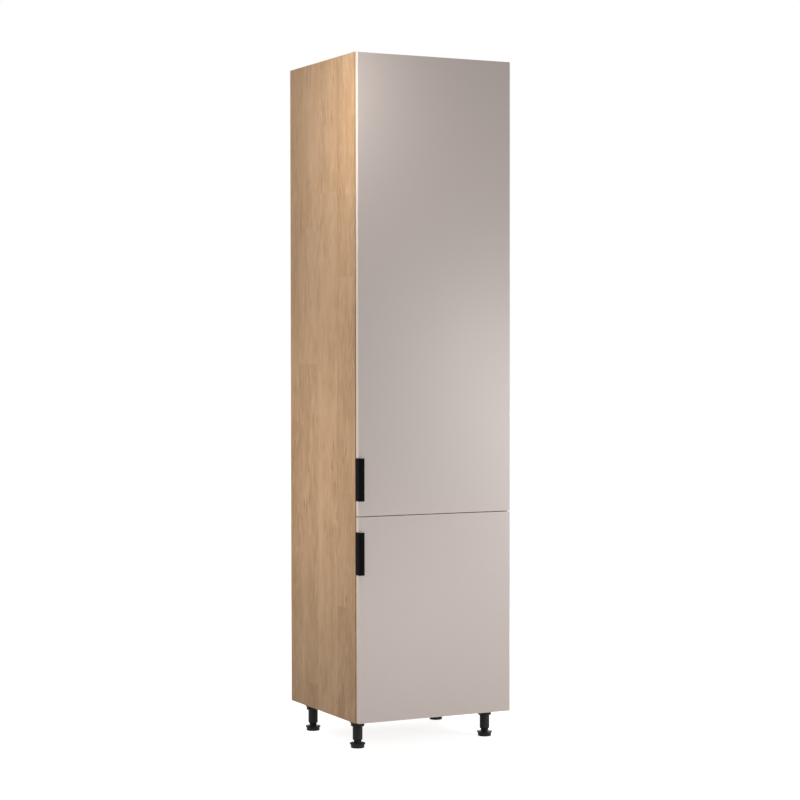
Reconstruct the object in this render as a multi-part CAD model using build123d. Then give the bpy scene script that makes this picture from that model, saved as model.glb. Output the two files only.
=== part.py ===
from build123d import *
import os

# Tall kitchen cabinet on adjustable legs, with two slab doors hinged on the right.
# Sizes are millimetres. +Z is up and the front faces -Y. The origin is on the floor, under
# the middle of the whole cabinet with its door pulls.

# Carcass boards
WIDTH = 600.0
CARCASS_DEPTH = 550.0
CARCASS_HEIGHT = 2310.0
BOARD = 16.0
BAND = 1.0
BACK_THICKNESS = 3.0
BACK_INSET = 12.0
GROOVE_DEPTH = 8.0

# Loose shelves and the pins that carry them
UPPER_SHELVES = 3
SHELF_SETBACK = 20.0
SHELF_SIDE_GAP = 1.0
PIN_ROW_FRONT = 70.0
PIN_ROW_REAR = 90.0
PIN_ROW_PITCH = 32.0
PIN_ROW_STEPS = (-2, -1, 0, 1, 2)
SHELF_PIN_R = 2.4
SHELF_PIN_DEPTH = 9.0
SHELF_PIN_COLLAR_R = 4.0
SHELF_PIN_COLLAR = 0.8
SHELF_PIN_TONGUE = 9.0
SHELF_PIN_TONGUE_WIDTH = 8.0
SHELF_PIN_TONGUE_HEIGHT = 4.0
SHELF_PIN_DROP = 2.8

# Cam fittings and dowels between the fixed panels and the sides
CAM_R = 7.4
CAM_HEIGHT = 12.0
CAM_SETBACK = 24.0
CAM_RECESS = (7.0, 1.4, 1.6)
BOLT_THREAD_R = 2.9
BOLT_THREAD = 11.0
BOLT_SHANK_R = 3.4
BOLT_NECK_R = 2.0
BOLT_HEAD_R = 3.2
BOLT_HEAD = 3.0
CAM_FROM_FRONT = 36.0
CAM_FROM_REAR = 40.0
DOWEL_R = 4.0
DOWEL_IN_SIDE = 11.0
DOWEL_IN_PANEL = 19.0
DOWEL_FROM_CAM = 100.0

# Doors
DOOR_THICKNESS = 18.0
DOOR_GAP = 3.5
DOOR_SIDE_REVEAL = 1.5
DOOR_END_REVEAL = 2.5
SPLIT_HEIGHT = 716.0
SPLIT_GAP = 3.0
DOOR_ROUND = 0.8

# Edge pulls
PULL_LENGTH = 148.0
PULL_FROM_SPLIT = 52.0
PULL_SHEET = 1.5
PULL_LIP = 2.0
PULL_LIP_WIDTH = 20.0
PULL_BACK_WIDTH = 28.0
PULL_REACH = 12.0
PULL_ROUND = 2.0
PULL_TIP_ROUND = 0.6
PULL_SCREW_SPACING = 96.0
PULL_SCREW_INSET = 19.0

# Cup hinges with one pin
UPPER_HINGES = 4
LOWER_HINGES = 2
HINGE_FROM_DOOR_END = 100.0
CUP_R = 17.5
CUP_DEPTH = 13.4
CUP_EDGE = 3.0
CUP_CAVITY_DEPTH = 12.8
CUP_CAVITY_WIDTH = 14.0
CUP_CAVITY_ROUND = 1.2
CUP_WALL_OUTER = 2.46
CUP_WALL_INNER = 2.5
CUP_FLANGE = 1.2
CUP_FLANGE_RIM = 1.2
CUP_SCREW_SPACING = 45.0
CUP_SCREW_OFFSET = 9.5
CUP_LUG_R = 6.0
HINGE_PIN_R = 1.6
HINGE_PIN_LENGTH = 22.0
HINGE_PIN_EDGE = 8.6
HINGE_PIN_DEPTH = 9.5
ARM_SHEET = 2.3
ARM_KNUCKLE_R = 2.8
ARM_NECK_WIDTH = 11.0
ARM_WIDTH = 18.0
ARM_ELBOW_ROUND = 3.0
ARM_NECK_END = 5.0
ARM_SHOULDER = 18.0
ARM_END = 68.0
ARM_END_ROUND = 4.0
ARM_FLANGE = 1.5
ARM_FLANGE_LIFT = 3.2
ARM_FLANGE_SETBACK = 5.0
ARM_SCREW_PLACES = (25.0, 55.0)
PLATE_HEIGHT = 7.6
PLATE_RIB_START = 15.0
PLATE_RIB_END = 63.0
PLATE_LINE = 37.0
PLATE_SCREW_SPACING = 32.0
PLATE_WING = 2.6
PLATE_WING_R = 7.0

# Legs
LEG_HEIGHT = 100.0
LEG_FROM_SIDE = 47.0
LEG_FROM_FRONT = 83.0
LEG_FROM_REAR = 88.0
LEG_PLATE = 62.0
LEG_PLATE_THICKNESS = 3.5
LEG_PLATE_ROUND = 8.0
LEG_SCREW_SQUARE = 46.0
COLLAR_R = 23.5
COLLAR_HEIGHT = 24.0
COLLAR_CHAMFER = 1.5
TUBE_R = 17.5
TUBE_BOTTOM = 26.5
TUBE_CHAMFER = 3.0
STEM_R = 13.5
STEM_TOP = 74.0
FOOT_R = 23.8
FOOT_ROUND = 2.0
FOOT_RIM_R = 27.0
FOOT_RIM_BOTTOM = 12.0
FOOT_RIM_TOP = 17.0
FOOT_RIM_ROUND = 1.2

# Wall angles under the top panel
ANGLE_LEG = 40.0
ANGLE_WIDTH = 40.0
ANGLE_SHEET = 2.0
ANGLE_ROUND = 3.0
ANGLE_FROM_SIDE = 60.0
ANGLE_HOLE_R = 3.25
ANGLE_HOLE_DROP = 24.0
ANGLE_SCREW_SPACING = 22.0
WALL_HOLE_R = 4.5

# Door bumpers
BUMPER_R = 4.0
BUMPER_CLEAR = 0.3
BUMPER_FROM_DOOR_END = 30.0
BUMPER_ROUND = 0.8

# Screws: head radius, head height, shank radius, length under the head's outer face
PULL_SCREW = (3.0, 1.5, 1.4, 11.0)
CUP_SCREW = (3.4, 1.2, 1.7, 11.0)
PLATE_SCREW = (4.2, 2.0, 2.4, 13.0)
ARM_SCREW = (3.6, 1.8, 2.2, 9.0)
LEG_SCREW = (3.4, 1.8, 1.7, 13.0)
ANGLE_SCREW = (3.6, 1.8, 1.9, 12.0)
SCREW_CROSS = (3.4, 0.8, 1.0)
PAN_CROWN = 0.6
PAN_EDGE = 0.4

# Clearances: assembled fits, pressed fits and running fits
FIT = 0.1
PRESS = 0.02
RUN = 0.05
CUT_PAST = 1.0

# Places worked out from the sizes above
TOTAL_DEPTH = PULL_REACH + DOOR_THICKNESS + DOOR_GAP + CARCASS_DEPTH
X_OUTER = WIDTH / 2
X_INNER = X_OUTER - BOARD
Y_REAR = TOTAL_DEPTH / 2
Y_FRONT = Y_REAR - CARCASS_DEPTH
Y_BOARD = Y_FRONT + BAND
Y_BACK_REAR = Y_REAR - BACK_INSET
Y_BACK_FRONT = Y_BACK_REAR - BACK_THICKNESS
Y_DOOR_REAR = Y_FRONT - DOOR_GAP
Y_DOOR_FRONT = Y_DOOR_REAR - DOOR_THICKNESS
Z_BOTTOM = LEG_HEIGHT
Z_FLOOR = Z_BOTTOM + BOARD
Z_TOP = Z_BOTTOM + CARCASS_HEIGHT
Z_CEILING = Z_TOP - BOARD
Z_SPLIT = Z_BOTTOM + SPLIT_HEIGHT
Z_MIDDLE = Z_SPLIT - BOARD / 2
X_DOOR = X_OUTER - DOOR_SIDE_REVEAL
LOWER_DOOR_Z = (Z_BOTTOM + DOOR_END_REVEAL, Z_SPLIT - SPLIT_GAP / 2)
UPPER_DOOR_Z = (Z_SPLIT + SPLIT_GAP / 2, Z_TOP - DOOR_END_REVEAL)
LOWER_PULL_Z = LOWER_DOOR_Z[1] - PULL_FROM_SPLIT - PULL_LENGTH / 2
UPPER_PULL_Z = UPPER_DOOR_Z[0] + PULL_FROM_SPLIT + PULL_LENGTH / 2
X_PULL = -X_DOOR - PULL_SHEET
Y_PULL_FRONT = Y_DOOR_FRONT - PULL_REACH
X_CUP = X_DOOR - CUP_EDGE - CUP_R
X_CUP_SCREW = X_CUP - CUP_SCREW_OFFSET
X_PIN = X_DOOR - HINGE_PIN_EDGE
Y_PIN = Y_DOOR_REAR - HINGE_PIN_DEPTH
X_ARM_RIGHT = X_INNER - PLATE_HEIGHT
X_ARM_LEFT = X_ARM_RIGHT - ARM_SHEET
X_LEG = X_OUTER - LEG_FROM_SIDE
X_ANGLE = X_INNER - ANGLE_FROM_SIDE
TUBE_TOP = Z_BOTTOM - LEG_PLATE_THICKNESS
SIDES = (-1, 1)
CAM_YS = (Y_FRONT + CAM_FROM_FRONT, Y_REAR - CAM_FROM_REAR)
DOWEL_YS = (CAM_YS[0] + DOWEL_FROM_CAM, CAM_YS[1] - DOWEL_FROM_CAM)
PIN_YS = (Y_FRONT + PIN_ROW_FRONT, Y_REAR - PIN_ROW_REAR)
PANEL_Z = {"bottom_panel": Z_BOTTOM, "middle_shelf": Z_MIDDLE, "top_panel": Z_CEILING}
LEGS = {
    "front_left": (-X_LEG, Y_FRONT + LEG_FROM_FRONT),
    "front_right": (X_LEG, Y_FRONT + LEG_FROM_FRONT),
    "rear_left": (-X_LEG, Y_REAR - LEG_FROM_REAR),
    "rear_right": (X_LEG, Y_REAR - LEG_FROM_REAR),
}

# Turns that take a piece drawn along +Z to another direction
TO_RIGHT = Rot(0, 90, 0)
TO_FRONT = Rot(90, 0, 0)
TO_REAR = Rot(-90, 0, 0)


def hinge_levels(door_z, count):
    """Heights of count hinges at equal steps, the end ones a set distance from the door's ends."""
    low = door_z[0] + HINGE_FROM_DOOR_END
    high = door_z[1] - HINGE_FROM_DOOR_END
    return [low + (high - low) * i / (count - 1) for i in range(count)]


def shelf_levels(low, high, count):
    """Undersides of count shelves that share the clear height between low and high equally."""
    opening = (high - low - count * BOARD) / (count + 1)
    return [low + opening * (i + 1) + BOARD * i for i in range(count)]


LOWER_HINGE_Z = hinge_levels(LOWER_DOOR_Z, LOWER_HINGES)
UPPER_HINGE_Z = hinge_levels(UPPER_DOOR_Z, UPPER_HINGES)
UPPER_SHELF_Z = shelf_levels(Z_MIDDLE + BOARD, Z_CEILING, UPPER_SHELVES)
LOWER_SHELF_Z = shelf_levels(Z_FLOOR, Z_MIDDLE, 1)
SHELF_Z = LOWER_SHELF_Z + UPPER_SHELF_Z
HINGE_Z = LOWER_HINGE_Z + UPPER_HINGE_Z


def slab(x, y, z):
    """Box between two limits along each axis, given in either order."""
    sizes = [abs(b - a) for a, b in (x, y, z)]
    centre = [(a + b) / 2 for a, b in (x, y, z)]
    return Pos(*centre) * Box(*sizes)


def rod_x(x, y, z, radius):
    """Cylinder along X between the two values of x."""
    return Pos((x[0] + x[1]) / 2, y, z) * TO_RIGHT * Cylinder(radius, abs(x[1] - x[0]))


def rod_y(x, y, z, radius):
    """Cylinder along Y between the two values of y."""
    return Pos(x, (y[0] + y[1]) / 2, z) * TO_REAR * Cylinder(radius, abs(y[1] - y[0]))


def rod_z(x, y, z, radius):
    """Cylinder along Z between the two values of z."""
    return Pos(x, y, (z[0] + z[1]) / 2) * Cylinder(radius, abs(z[1] - z[0]))


def turned(*points):
    """Solid of revolution about Z from (radius, height) points."""
    return revolve(Plane.XZ * make_face(Polyline(*points, close=True)), Axis.Z)


def cross_recess(length, width, depth):
    """Cutter for a screw head's cross, its mouth at z = 0 and its floor at z = depth."""
    bar = Pos(0, 0, depth / 2) * Box(length, width, depth)
    return bar + Rot(0, 0, 90) * bar


def flat_screw(size):
    """Countersunk screw along +Z with its head's flat face at z = 0."""
    head_r, head, shank_r, length = size
    body = turned((0, 0), (head_r, 0), (shank_r, head), (shank_r, length - shank_r), (0, length))
    return body - cross_recess(*SCREW_CROSS)


def pan_screw(size):
    """Pan-head screw along +Z with the head standing on the plane z = 0."""
    head_r, head, shank_r, length = size
    body = turned(
        (0, -head),
        (head_r * PAN_CROWN, -head),
        (head_r, -head * PAN_EDGE),
        (head_r, 0),
        (shank_r, 0),
        (shank_r, length - shank_r),
        (0, length),
    )
    return body - Pos(0, 0, -head) * cross_recess(*SCREW_CROSS)


def flat_screw_hole(size):
    """Cutter for a countersunk screw and its clearance, along +Z from z = 0."""
    head_r, head, shank_r, length = size
    hole_r = shank_r + FIT
    return turned((0, 0), (head_r + FIT, 0), (hole_r, head), (hole_r, length + FIT), (0, length + FIT))


def shank_hole(size):
    """Cutter for a pan-head screw's shank and its clearance, along +Z from z = -CUT_PAST."""
    hole_r, end = size[2] + FIT, size[3] + FIT
    return turned((0, -CUT_PAST), (hole_r, -CUT_PAST), (hole_r, end), (0, end))


def side_panel(side):
    """Side board, grooved for the back and bored for pins, bolts, dowels and hinge plates."""
    face = side * X_INNER
    outside = side * (X_INNER - CUT_PAST)
    board = slab((face, side * X_OUTER), (Y_BOARD, Y_REAR), (Z_BOTTOM, Z_TOP))
    groove_y = (Y_BACK_FRONT - FIT, Y_BACK_REAR + FIT)
    cuts = [slab((outside, side * (X_INNER + GROOVE_DEPTH)), groove_y, (Z_BOTTOM, Z_TOP))]
    for z in PANEL_Z.values():
        bolt_end = side * (X_INNER + BOLT_THREAD + FIT)
        dowel_end = side * (X_INNER + DOWEL_IN_SIDE + FIT)
        cuts += [rod_x((outside, bolt_end), y, z + BOARD / 2, BOLT_THREAD_R + FIT) for y in CAM_YS]
        cuts += [rod_x((outside, dowel_end), y, z + BOARD / 2, DOWEL_R + FIT) for y in DOWEL_YS]
    pin_end = side * (X_INNER + SHELF_PIN_DEPTH + FIT)
    for z in SHELF_Z:
        for step in PIN_ROW_STEPS:
            hole_z = z - SHELF_PIN_DROP + step * PIN_ROW_PITCH
            cuts += [rod_x((outside, pin_end), y, hole_z, SHELF_PIN_R + FIT) for y in PIN_YS]
    if side > 0:
        cuts += [place * shank_hole(PLATE_SCREW) for place in plate_screw_places()]
    return board - cuts


def fixed_panel(z, y_end, cam_face):
    """Board between the sides, bored for cams from its top (1) or underside (-1) and for dowels."""
    board = slab((-X_INNER, X_INNER), (Y_BOARD, y_end), (z, z + BOARD))
    middle = z + BOARD / 2
    mouth = middle + cam_face * (BOARD / 2 + CUT_PAST)
    floor = middle + cam_face * (BOARD / 2 - CAM_HEIGHT - FIT)
    cuts = []
    for side in SIDES:
        cam_x = side * (X_INNER - CAM_SETBACK)
        end = side * (X_INNER + CUT_PAST)
        head_end = cam_x - side * (BOLT_HEAD + FIT)
        dowel_end = side * (X_INNER - DOWEL_IN_PANEL - FIT)
        for y in CAM_YS:
            cuts.append(rod_z(cam_x, y, (mouth, floor), CAM_R + FIT))
            cuts.append(rod_x((end, head_end), y, middle, BOLT_SHANK_R + FIT))
        cuts += [rod_x((end, dowel_end), y, middle, DOWEL_R + FIT) for y in DOWEL_YS]
    return board - cuts


def back_groove(face, inward):
    """Cutter for the back panel's groove in a panel whose inner face is at z = face."""
    y = (Y_BACK_FRONT - FIT, Y_BACK_REAR + FIT)
    return slab((-X_OUTER, X_OUTER), y, (face + inward * CUT_PAST, face - inward * GROOVE_DEPTH))


def bottom_panel():
    """Bottom board with the back's groove and pilot holes for the leg screws."""
    board = fixed_panel(Z_BOTTOM, Y_REAR, -1) - back_groove(Z_FLOOR, 1)
    return board - [place * shank_hole(LEG_SCREW) for place in all_leg_screw_places()]


def top_panel():
    """Top board with the back's groove and pilot holes for the wall angles' screws."""
    board = fixed_panel(Z_CEILING, Y_REAR, 1) - back_groove(Z_CEILING, -1)
    return board - [place * shank_hole(ANGLE_SCREW) for place in angle_screw_places()]


def back_panel():
    """Thin back held in the grooves, with holes where the wall screws pass."""
    half = X_INNER + GROOVE_DEPTH - FIT
    reach = GROOVE_DEPTH - FIT
    board = slab((-half, half), (Y_BACK_FRONT, Y_BACK_REAR), (Z_FLOOR - reach, Z_CEILING + reach))
    y = (Y_BACK_FRONT - CUT_PAST, Y_BACK_REAR + CUT_PAST)
    return board - [rod_y(side * X_ANGLE, y, Z_CEILING - ANGLE_HOLE_DROP, WALL_HOLE_R) for side in SIDES]


def loose_shelf(z):
    """Shelf that rests on four pins, without its front band."""
    half = X_INNER - SHELF_SIDE_GAP
    return slab((-half, half), (Y_BOARD + SHELF_SETBACK, Y_BACK_FRONT - SHELF_SIDE_GAP), (z, z + BOARD))


def carcass_edge_bands():
    """Front bands of the sides, the fixed panels and the loose shelves."""
    y = (Y_FRONT, Y_BOARD)
    bands = [slab((side * X_INNER, side * X_OUTER), y, (Z_BOTTOM, Z_TOP)) for side in SIDES]
    bands += [slab((-X_INNER, X_INNER), y, (z, z + BOARD)) for z in PANEL_Z.values()]
    half = X_INNER - SHELF_SIDE_GAP
    shelf_y = (Y_FRONT + SHELF_SETBACK, Y_BOARD + SHELF_SETBACK)
    return bands + [slab((-half, half), shelf_y, (z, z + BOARD)) for z in SHELF_Z]


def shelf_pin(side, y, z):
    """Shelf pin: stud in the side, thin collar on its face and a flat tongue under the shelf at z."""
    axis_z = z - SHELF_PIN_DROP
    face = side * X_INNER
    collar = side * (X_INNER - SHELF_PIN_COLLAR)
    tip = side * (X_INNER - SHELF_PIN_TONGUE)
    half = SHELF_PIN_TONGUE_WIDTH / 2
    stud = rod_x((side * (X_INNER + SHELF_PIN_DEPTH), collar), y, axis_z, SHELF_PIN_R)
    flange = rod_x((face, collar), y, axis_z, SHELF_PIN_COLLAR_R)
    tongue = slab((face, tip), (y - half, y + half), (z - SHELF_PIN_TONGUE_HEIGHT, z))
    return stud + flange + tongue


def cam_housing(side, y, middle, cam_face):
    """Cam body with its cross and the radial hole that takes the bolt's head."""
    x = side * (X_INNER - CAM_SETBACK)
    face = middle + cam_face * BOARD / 2
    body = rod_z(x, y, (face, face - cam_face * CAM_HEIGHT), CAM_R)
    hole = rod_x((side * X_INNER, x - side * (BOLT_HEAD + FIT)), y, middle, BOLT_SHANK_R + FIT)
    cross = Pos(x, y, face) * Rot(90 + cam_face * 90, 0, 0) * cross_recess(*CAM_RECESS)
    return body - hole - cross


def cam_bolt(side, y, middle):
    """Bolt from the side's bore to the middle of its cam: thread, shank, neck and head."""
    places = (X_INNER + BOLT_THREAD, X_INNER, X_INNER - CAM_SETBACK + CAM_R)
    head_x = X_INNER - CAM_SETBACK - BOLT_HEAD
    neck_x = head_x + BOLT_HEAD
    thread = rod_x((side * places[0], side * places[1]), y, middle, BOLT_THREAD_R)
    shank = rod_x((side * places[1], side * places[2]), y, middle, BOLT_SHANK_R)
    neck = rod_x((side * places[2], side * neck_x), y, middle, BOLT_NECK_R)
    head = rod_x((side * neck_x, side * head_x), y, middle, BOLT_HEAD_R)
    return thread + shank + neck + head


def dowel(side, y, middle):
    """Wood dowel, half in the panel's end and half in the side."""
    return rod_x((side * (X_INNER - DOWEL_IN_PANEL), side * (X_INNER + DOWEL_IN_SIDE)), y, middle, DOWEL_R)


def leg_socket(x, y):
    """Screw-on leg socket: square plate under the bottom panel and the collar that grips the tube."""
    plate = extrude(RectangleRounded(LEG_PLATE, LEG_PLATE, LEG_PLATE_ROUND), LEG_PLATE_THICKNESS)
    collar_bottom = Z_BOTTOM - COLLAR_HEIGHT
    collar = turned(
        (0, TUBE_TOP),
        (COLLAR_R, TUBE_TOP),
        (COLLAR_R, collar_bottom + COLLAR_CHAMFER),
        (COLLAR_R - COLLAR_CHAMFER, collar_bottom),
        (0, collar_bottom),
    )
    bore = rod_z(0, 0, (collar_bottom - CUT_PAST, TUBE_TOP), TUBE_R + FIT)
    socket = Pos(x, y, 0) * (Pos(0, 0, TUBE_TOP) * plate + collar - bore)
    return socket - [place * shank_hole(LEG_SCREW) for place in leg_screw_places(x, y)]


def leg_tube(x, y):
    """Tube between the socket and the foot, chamfered at its lower end."""
    bore = STEM_R + RUN
    return Pos(x, y, 0) * turned(
        (bore, TUBE_TOP),
        (TUBE_R, TUBE_TOP),
        (TUBE_R, TUBE_BOTTOM + TUBE_CHAMFER),
        (TUBE_R - TUBE_CHAMFER, TUBE_BOTTOM),
        (bore, TUBE_BOTTOM),
    )


def leg_foot(x, y):
    """Foot with a rounded base, a wider rim to turn it by and the stem that screws into the tube."""
    foot = turned(
        (0, 0),
        (FOOT_R, 0),
        (FOOT_R, FOOT_RIM_BOTTOM),
        (FOOT_RIM_R, FOOT_RIM_BOTTOM),
        (FOOT_RIM_R, FOOT_RIM_TOP),
        (STEM_R, FOOT_RIM_TOP),
        (STEM_R, STEM_TOP),
        (0, STEM_TOP),
    )
    rims = foot.edges().filter_by(GeomType.CIRCLE)
    base = rims.filter_by(lambda edge: edge.radius == FOOT_R and edge.center().Z < CUT_PAST)
    rim = rims.filter_by(lambda edge: edge.radius == FOOT_RIM_R)
    return Pos(x, y, 0) * fillet(base, FOOT_ROUND).fillet(FOOT_RIM_ROUND, rim)


def leg_screw_places(x, y):
    """Where one leg's screws start: on the underside of its socket plate, pointing up."""
    half = LEG_SCREW_SQUARE / 2
    return [Pos(x + sx * half, y + sy * half, TUBE_TOP) for sx in SIDES for sy in SIDES]


def all_leg_screw_places():
    """Where the screws of all the legs start."""
    return [place for leg in LEGS.values() for place in leg_screw_places(*leg)]


def bend(shape, axis, corner, radius):
    """The shape with its edge along the axis that lies nearest the corner rounded."""
    edge = shape.edges().filter_by(axis).sort_by_distance(corner)[0]
    return fillet(edge, radius)


def wall_angle(side):
    """Steel angle under the top panel, with the wall screw's hole in its upright leg."""
    x = (side * X_ANGLE - ANGLE_WIDTH / 2, side * X_ANGLE + ANGLE_WIDTH / 2)
    inner_y = Y_BACK_FRONT - ANGLE_SHEET
    inner_z = Z_CEILING - ANGLE_SHEET
    flat = slab(x, (Y_BACK_FRONT - ANGLE_LEG, Y_BACK_FRONT), (inner_z, Z_CEILING))
    upright = slab(x, (inner_y, Y_BACK_FRONT), (Z_CEILING - ANGLE_LEG, Z_CEILING))
    angle = bend(flat + upright, Axis.X, (side * X_ANGLE, Y_BACK_FRONT, Z_CEILING), ANGLE_ROUND)
    angle = bend(angle, Axis.X, (side * X_ANGLE, inner_y, inner_z), ANGLE_ROUND - ANGLE_SHEET)
    wall_y = (inner_y - CUT_PAST, Y_BACK_FRONT + CUT_PAST)
    holes = [rod_y(side * X_ANGLE, wall_y, Z_CEILING - ANGLE_HOLE_DROP, ANGLE_HOLE_R)]
    holes += [place * shank_hole(ANGLE_SCREW) for place in angle_screw_places()]
    return angle - holes


def angle_screw_places():
    """Where the wall angles' screws start: under each angle's flat leg, pointing up."""
    y = Y_BACK_FRONT - ANGLE_LEG / 2 - ANGLE_SHEET
    half = ANGLE_SCREW_SPACING / 2
    return [Pos(side * X_ANGLE + s * half, y, Z_CEILING - ANGLE_SHEET) for side in SIDES for s in SIDES]


def door(z, hinge_z, pull_z):
    """Door board without its bands, bored for the hinge cups, their screws and the pull's screws."""
    board = slab((BAND - X_DOOR, X_DOOR - BAND), (Y_DOOR_FRONT, Y_DOOR_REAR), (z[0] + BAND, z[1] - BAND))
    cup_y = (Y_DOOR_REAR - CUP_DEPTH - FIT, Y_DOOR_REAR + CUT_PAST)
    cuts = [rod_y(X_CUP, cup_y, level, CUP_R + FIT) for level in hinge_z]
    cuts += [place * flat_screw_hole(CUP_SCREW) for place in cup_screw_places(hinge_z)]
    cuts += [place * flat_screw_hole(PULL_SCREW) for place in pull_screw_places(pull_z)]
    return board - cuts


def door_edge_bands(z):
    """Bands on a door's four edges, rounded to the front and rear: two uprights and two between them."""
    y = (Y_DOOR_FRONT, Y_DOOR_REAR)
    inside_x = X_DOOR - BAND
    inside_z = (z[0] + BAND, z[1] - BAND)
    whole = slab((-X_DOOR, X_DOOR), y, z)
    whole = fillet(whole.edges(), DOOR_ROUND)
    ring = whole - slab((-inside_x, inside_x), y, inside_z)
    uprights = [ring & slab((side * inside_x, side * X_DOOR), y, z) for side in SIDES]
    ends = [(z[0], inside_z[0]), (inside_z[1], z[1])]
    return uprights + [ring & slab((-inside_x, inside_x), y, end) for end in ends]


def pull(pull_z):
    """Edge pull: a bent sheet behind the door, over its edge and forward to a lip that fingers hook."""
    sheet_y = Y_DOOR_REAR + PULL_SHEET
    lip_y = Y_PULL_FRONT + PULL_LIP
    outline = Polyline(
        (X_PULL, sheet_y),
        (X_PULL + PULL_BACK_WIDTH, sheet_y),
        (X_PULL + PULL_BACK_WIDTH, Y_DOOR_REAR),
        (-X_DOOR, Y_DOOR_REAR),
        (-X_DOOR, lip_y),
        (X_PULL + PULL_LIP_WIDTH, lip_y),
        (X_PULL + PULL_LIP_WIDTH, Y_PULL_FRONT),
        (X_PULL, Y_PULL_FRONT),
        close=True,
    )
    half = PULL_LENGTH / 2
    bar = Pos(0, 0, pull_z - half) * extrude(make_face(outline), PULL_LENGTH)
    bar = bend(bar, Axis.Z, (X_PULL, Y_PULL_FRONT, pull_z), PULL_ROUND)
    bar = bend(bar, Axis.Z, (X_PULL, sheet_y, pull_z), PULL_SHEET - FIT)
    for y in (Y_PULL_FRONT, lip_y):
        bar = bend(bar, Axis.Z, (X_PULL + PULL_LIP_WIDTH, y, pull_z), PULL_TIP_ROUND)
    return bar - [place * flat_screw_hole(PULL_SCREW) for place in pull_screw_places(pull_z)]


def pull_screw_places(pull_z):
    """Where a pull's screws start: on the rear of its back leg, pointing to the front."""
    x = X_PULL + PULL_SCREW_INSET
    half = PULL_SCREW_SPACING / 2
    return [Pos(x, Y_DOOR_REAR + PULL_SHEET, pull_z + s * half) * TO_FRONT for s in SIDES]


def hinge_cup(z):
    """Cup sunk in the door, its flange with two screw lugs, and the slot that the arm swings in."""
    body = rod_y(X_CUP, (Y_DOOR_REAR - CUP_DEPTH, Y_DOOR_REAR), z, CUP_R)
    lugs = Pos(-CUP_SCREW_OFFSET, 0) * Rot(0, 0, 90) * SlotCenterToCenter(CUP_SCREW_SPACING, 2 * CUP_LUG_R)
    outline = Circle(CUP_R + CUP_FLANGE_RIM) + lugs
    flange = Pos(X_CUP, Y_DOOR_REAR + CUP_FLANGE, z) * TO_FRONT * extrude(outline, CUP_FLANGE)
    outer = X_DOOR - CUP_EDGE - CUP_WALL_OUTER
    inner = X_DOOR - CUP_EDGE - 2 * CUP_R + CUP_WALL_INNER
    cavity_y = (Y_DOOR_REAR - CUP_CAVITY_DEPTH, Y_DOOR_REAR + CUP_FLANGE + CUT_PAST)
    half = CUP_CAVITY_WIDTH / 2
    cavity = slab((inner, outer), cavity_y, (z - half, z + half))
    cavity = fillet(cavity.edges().filter_by(Axis.Y), CUP_CAVITY_ROUND)
    pin_half = HINGE_PIN_LENGTH / 2 + FIT
    pin_hole = rod_z(X_PIN, Y_PIN, (z - pin_half, z + pin_half), HINGE_PIN_R + PRESS)
    holes = [place * flat_screw_hole(CUP_SCREW) for place in cup_screw_places([z])]
    return body + flange - cavity - pin_hole - holes


def cup_screw_places(hinge_z):
    """Where the cup screws start: on the rear of each flange lug, pointing to the front."""
    y = Y_DOOR_REAR + CUP_FLANGE
    half = CUP_SCREW_SPACING / 2
    return [Pos(X_CUP_SCREW, y, z + s * half) * TO_FRONT for z in hinge_z for s in SIDES]


def hinge_pin(z):
    """Pin across the cup's slot, held in both of its walls."""
    half = HINGE_PIN_LENGTH / 2
    return rod_z(X_PIN, Y_PIN, (z - half, z + half), HINGE_PIN_R)


def hinge_arm(z):
    """Arm: knuckle on the pin, strip round the door's edge, and a channel on the mounting plate."""
    front = Y_PIN - ARM_KNUCKLE_R
    neck = (z - ARM_NECK_WIDTH / 2, z + ARM_NECK_WIDTH / 2)
    neck_end = Y_FRONT + ARM_NECK_END
    hook = slab((X_ARM_LEFT, X_PIN), (front, front + ARM_SHEET), neck)
    hook += slab((X_ARM_LEFT, X_ARM_RIGHT), (front, neck_end), neck)
    hook = bend(hook, Axis.Z, (X_ARM_LEFT, front, z), ARM_ELBOW_ROUND)
    hook = bend(hook, Axis.Z, (X_ARM_RIGHT, front + ARM_SHEET, z), ARM_ELBOW_ROUND - ARM_SHEET)
    hook += rod_z(X_PIN, Y_PIN, neck, ARM_KNUCKLE_R)
    half, wide = ARM_NECK_WIDTH / 2, ARM_WIDTH / 2
    shoulder, end = Y_FRONT + ARM_SHOULDER, Y_FRONT + ARM_END
    upper = [(neck_end, half), (shoulder, wide), (end, wide)]
    lower = [(y, -width) for y, width in reversed(upper)]
    outline = Polyline(*upper, *lower, close=True)
    top = Pos(X_ARM_LEFT, 0, z) * extrude(Plane.YZ * make_face(outline), ARM_SHEET)
    for s in SIDES:
        top = bend(top, Axis.X, (X_ARM_LEFT, end, z + s * wide), ARM_END_ROUND)
    flange_x = (X_ARM_RIGHT, X_INNER - ARM_FLANGE_LIFT)
    flange_y = (shoulder + ARM_FLANGE_SETBACK, end - ARM_FLANGE_SETBACK)
    flanges = [slab(flange_x, flange_y, (z + s * wide, z + s * (wide - ARM_FLANGE))) for s in SIDES]
    arm = hook + top + flanges
    holes = [rod_z(X_PIN, Y_PIN, (neck[0] - CUT_PAST, neck[1] + CUT_PAST), HINGE_PIN_R + RUN)]
    holes += [place * shank_hole(ARM_SCREW) for place in arm_screw_places([z])]
    return arm - holes


def arm_screw_places(hinge_z):
    """Where the arm screws start: on each arm's inner face, pointing to the side panel."""
    return [Pos(X_ARM_LEFT, Y_FRONT + y, z) * TO_RIGHT for z in hinge_z for y in ARM_SCREW_PLACES]


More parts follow.
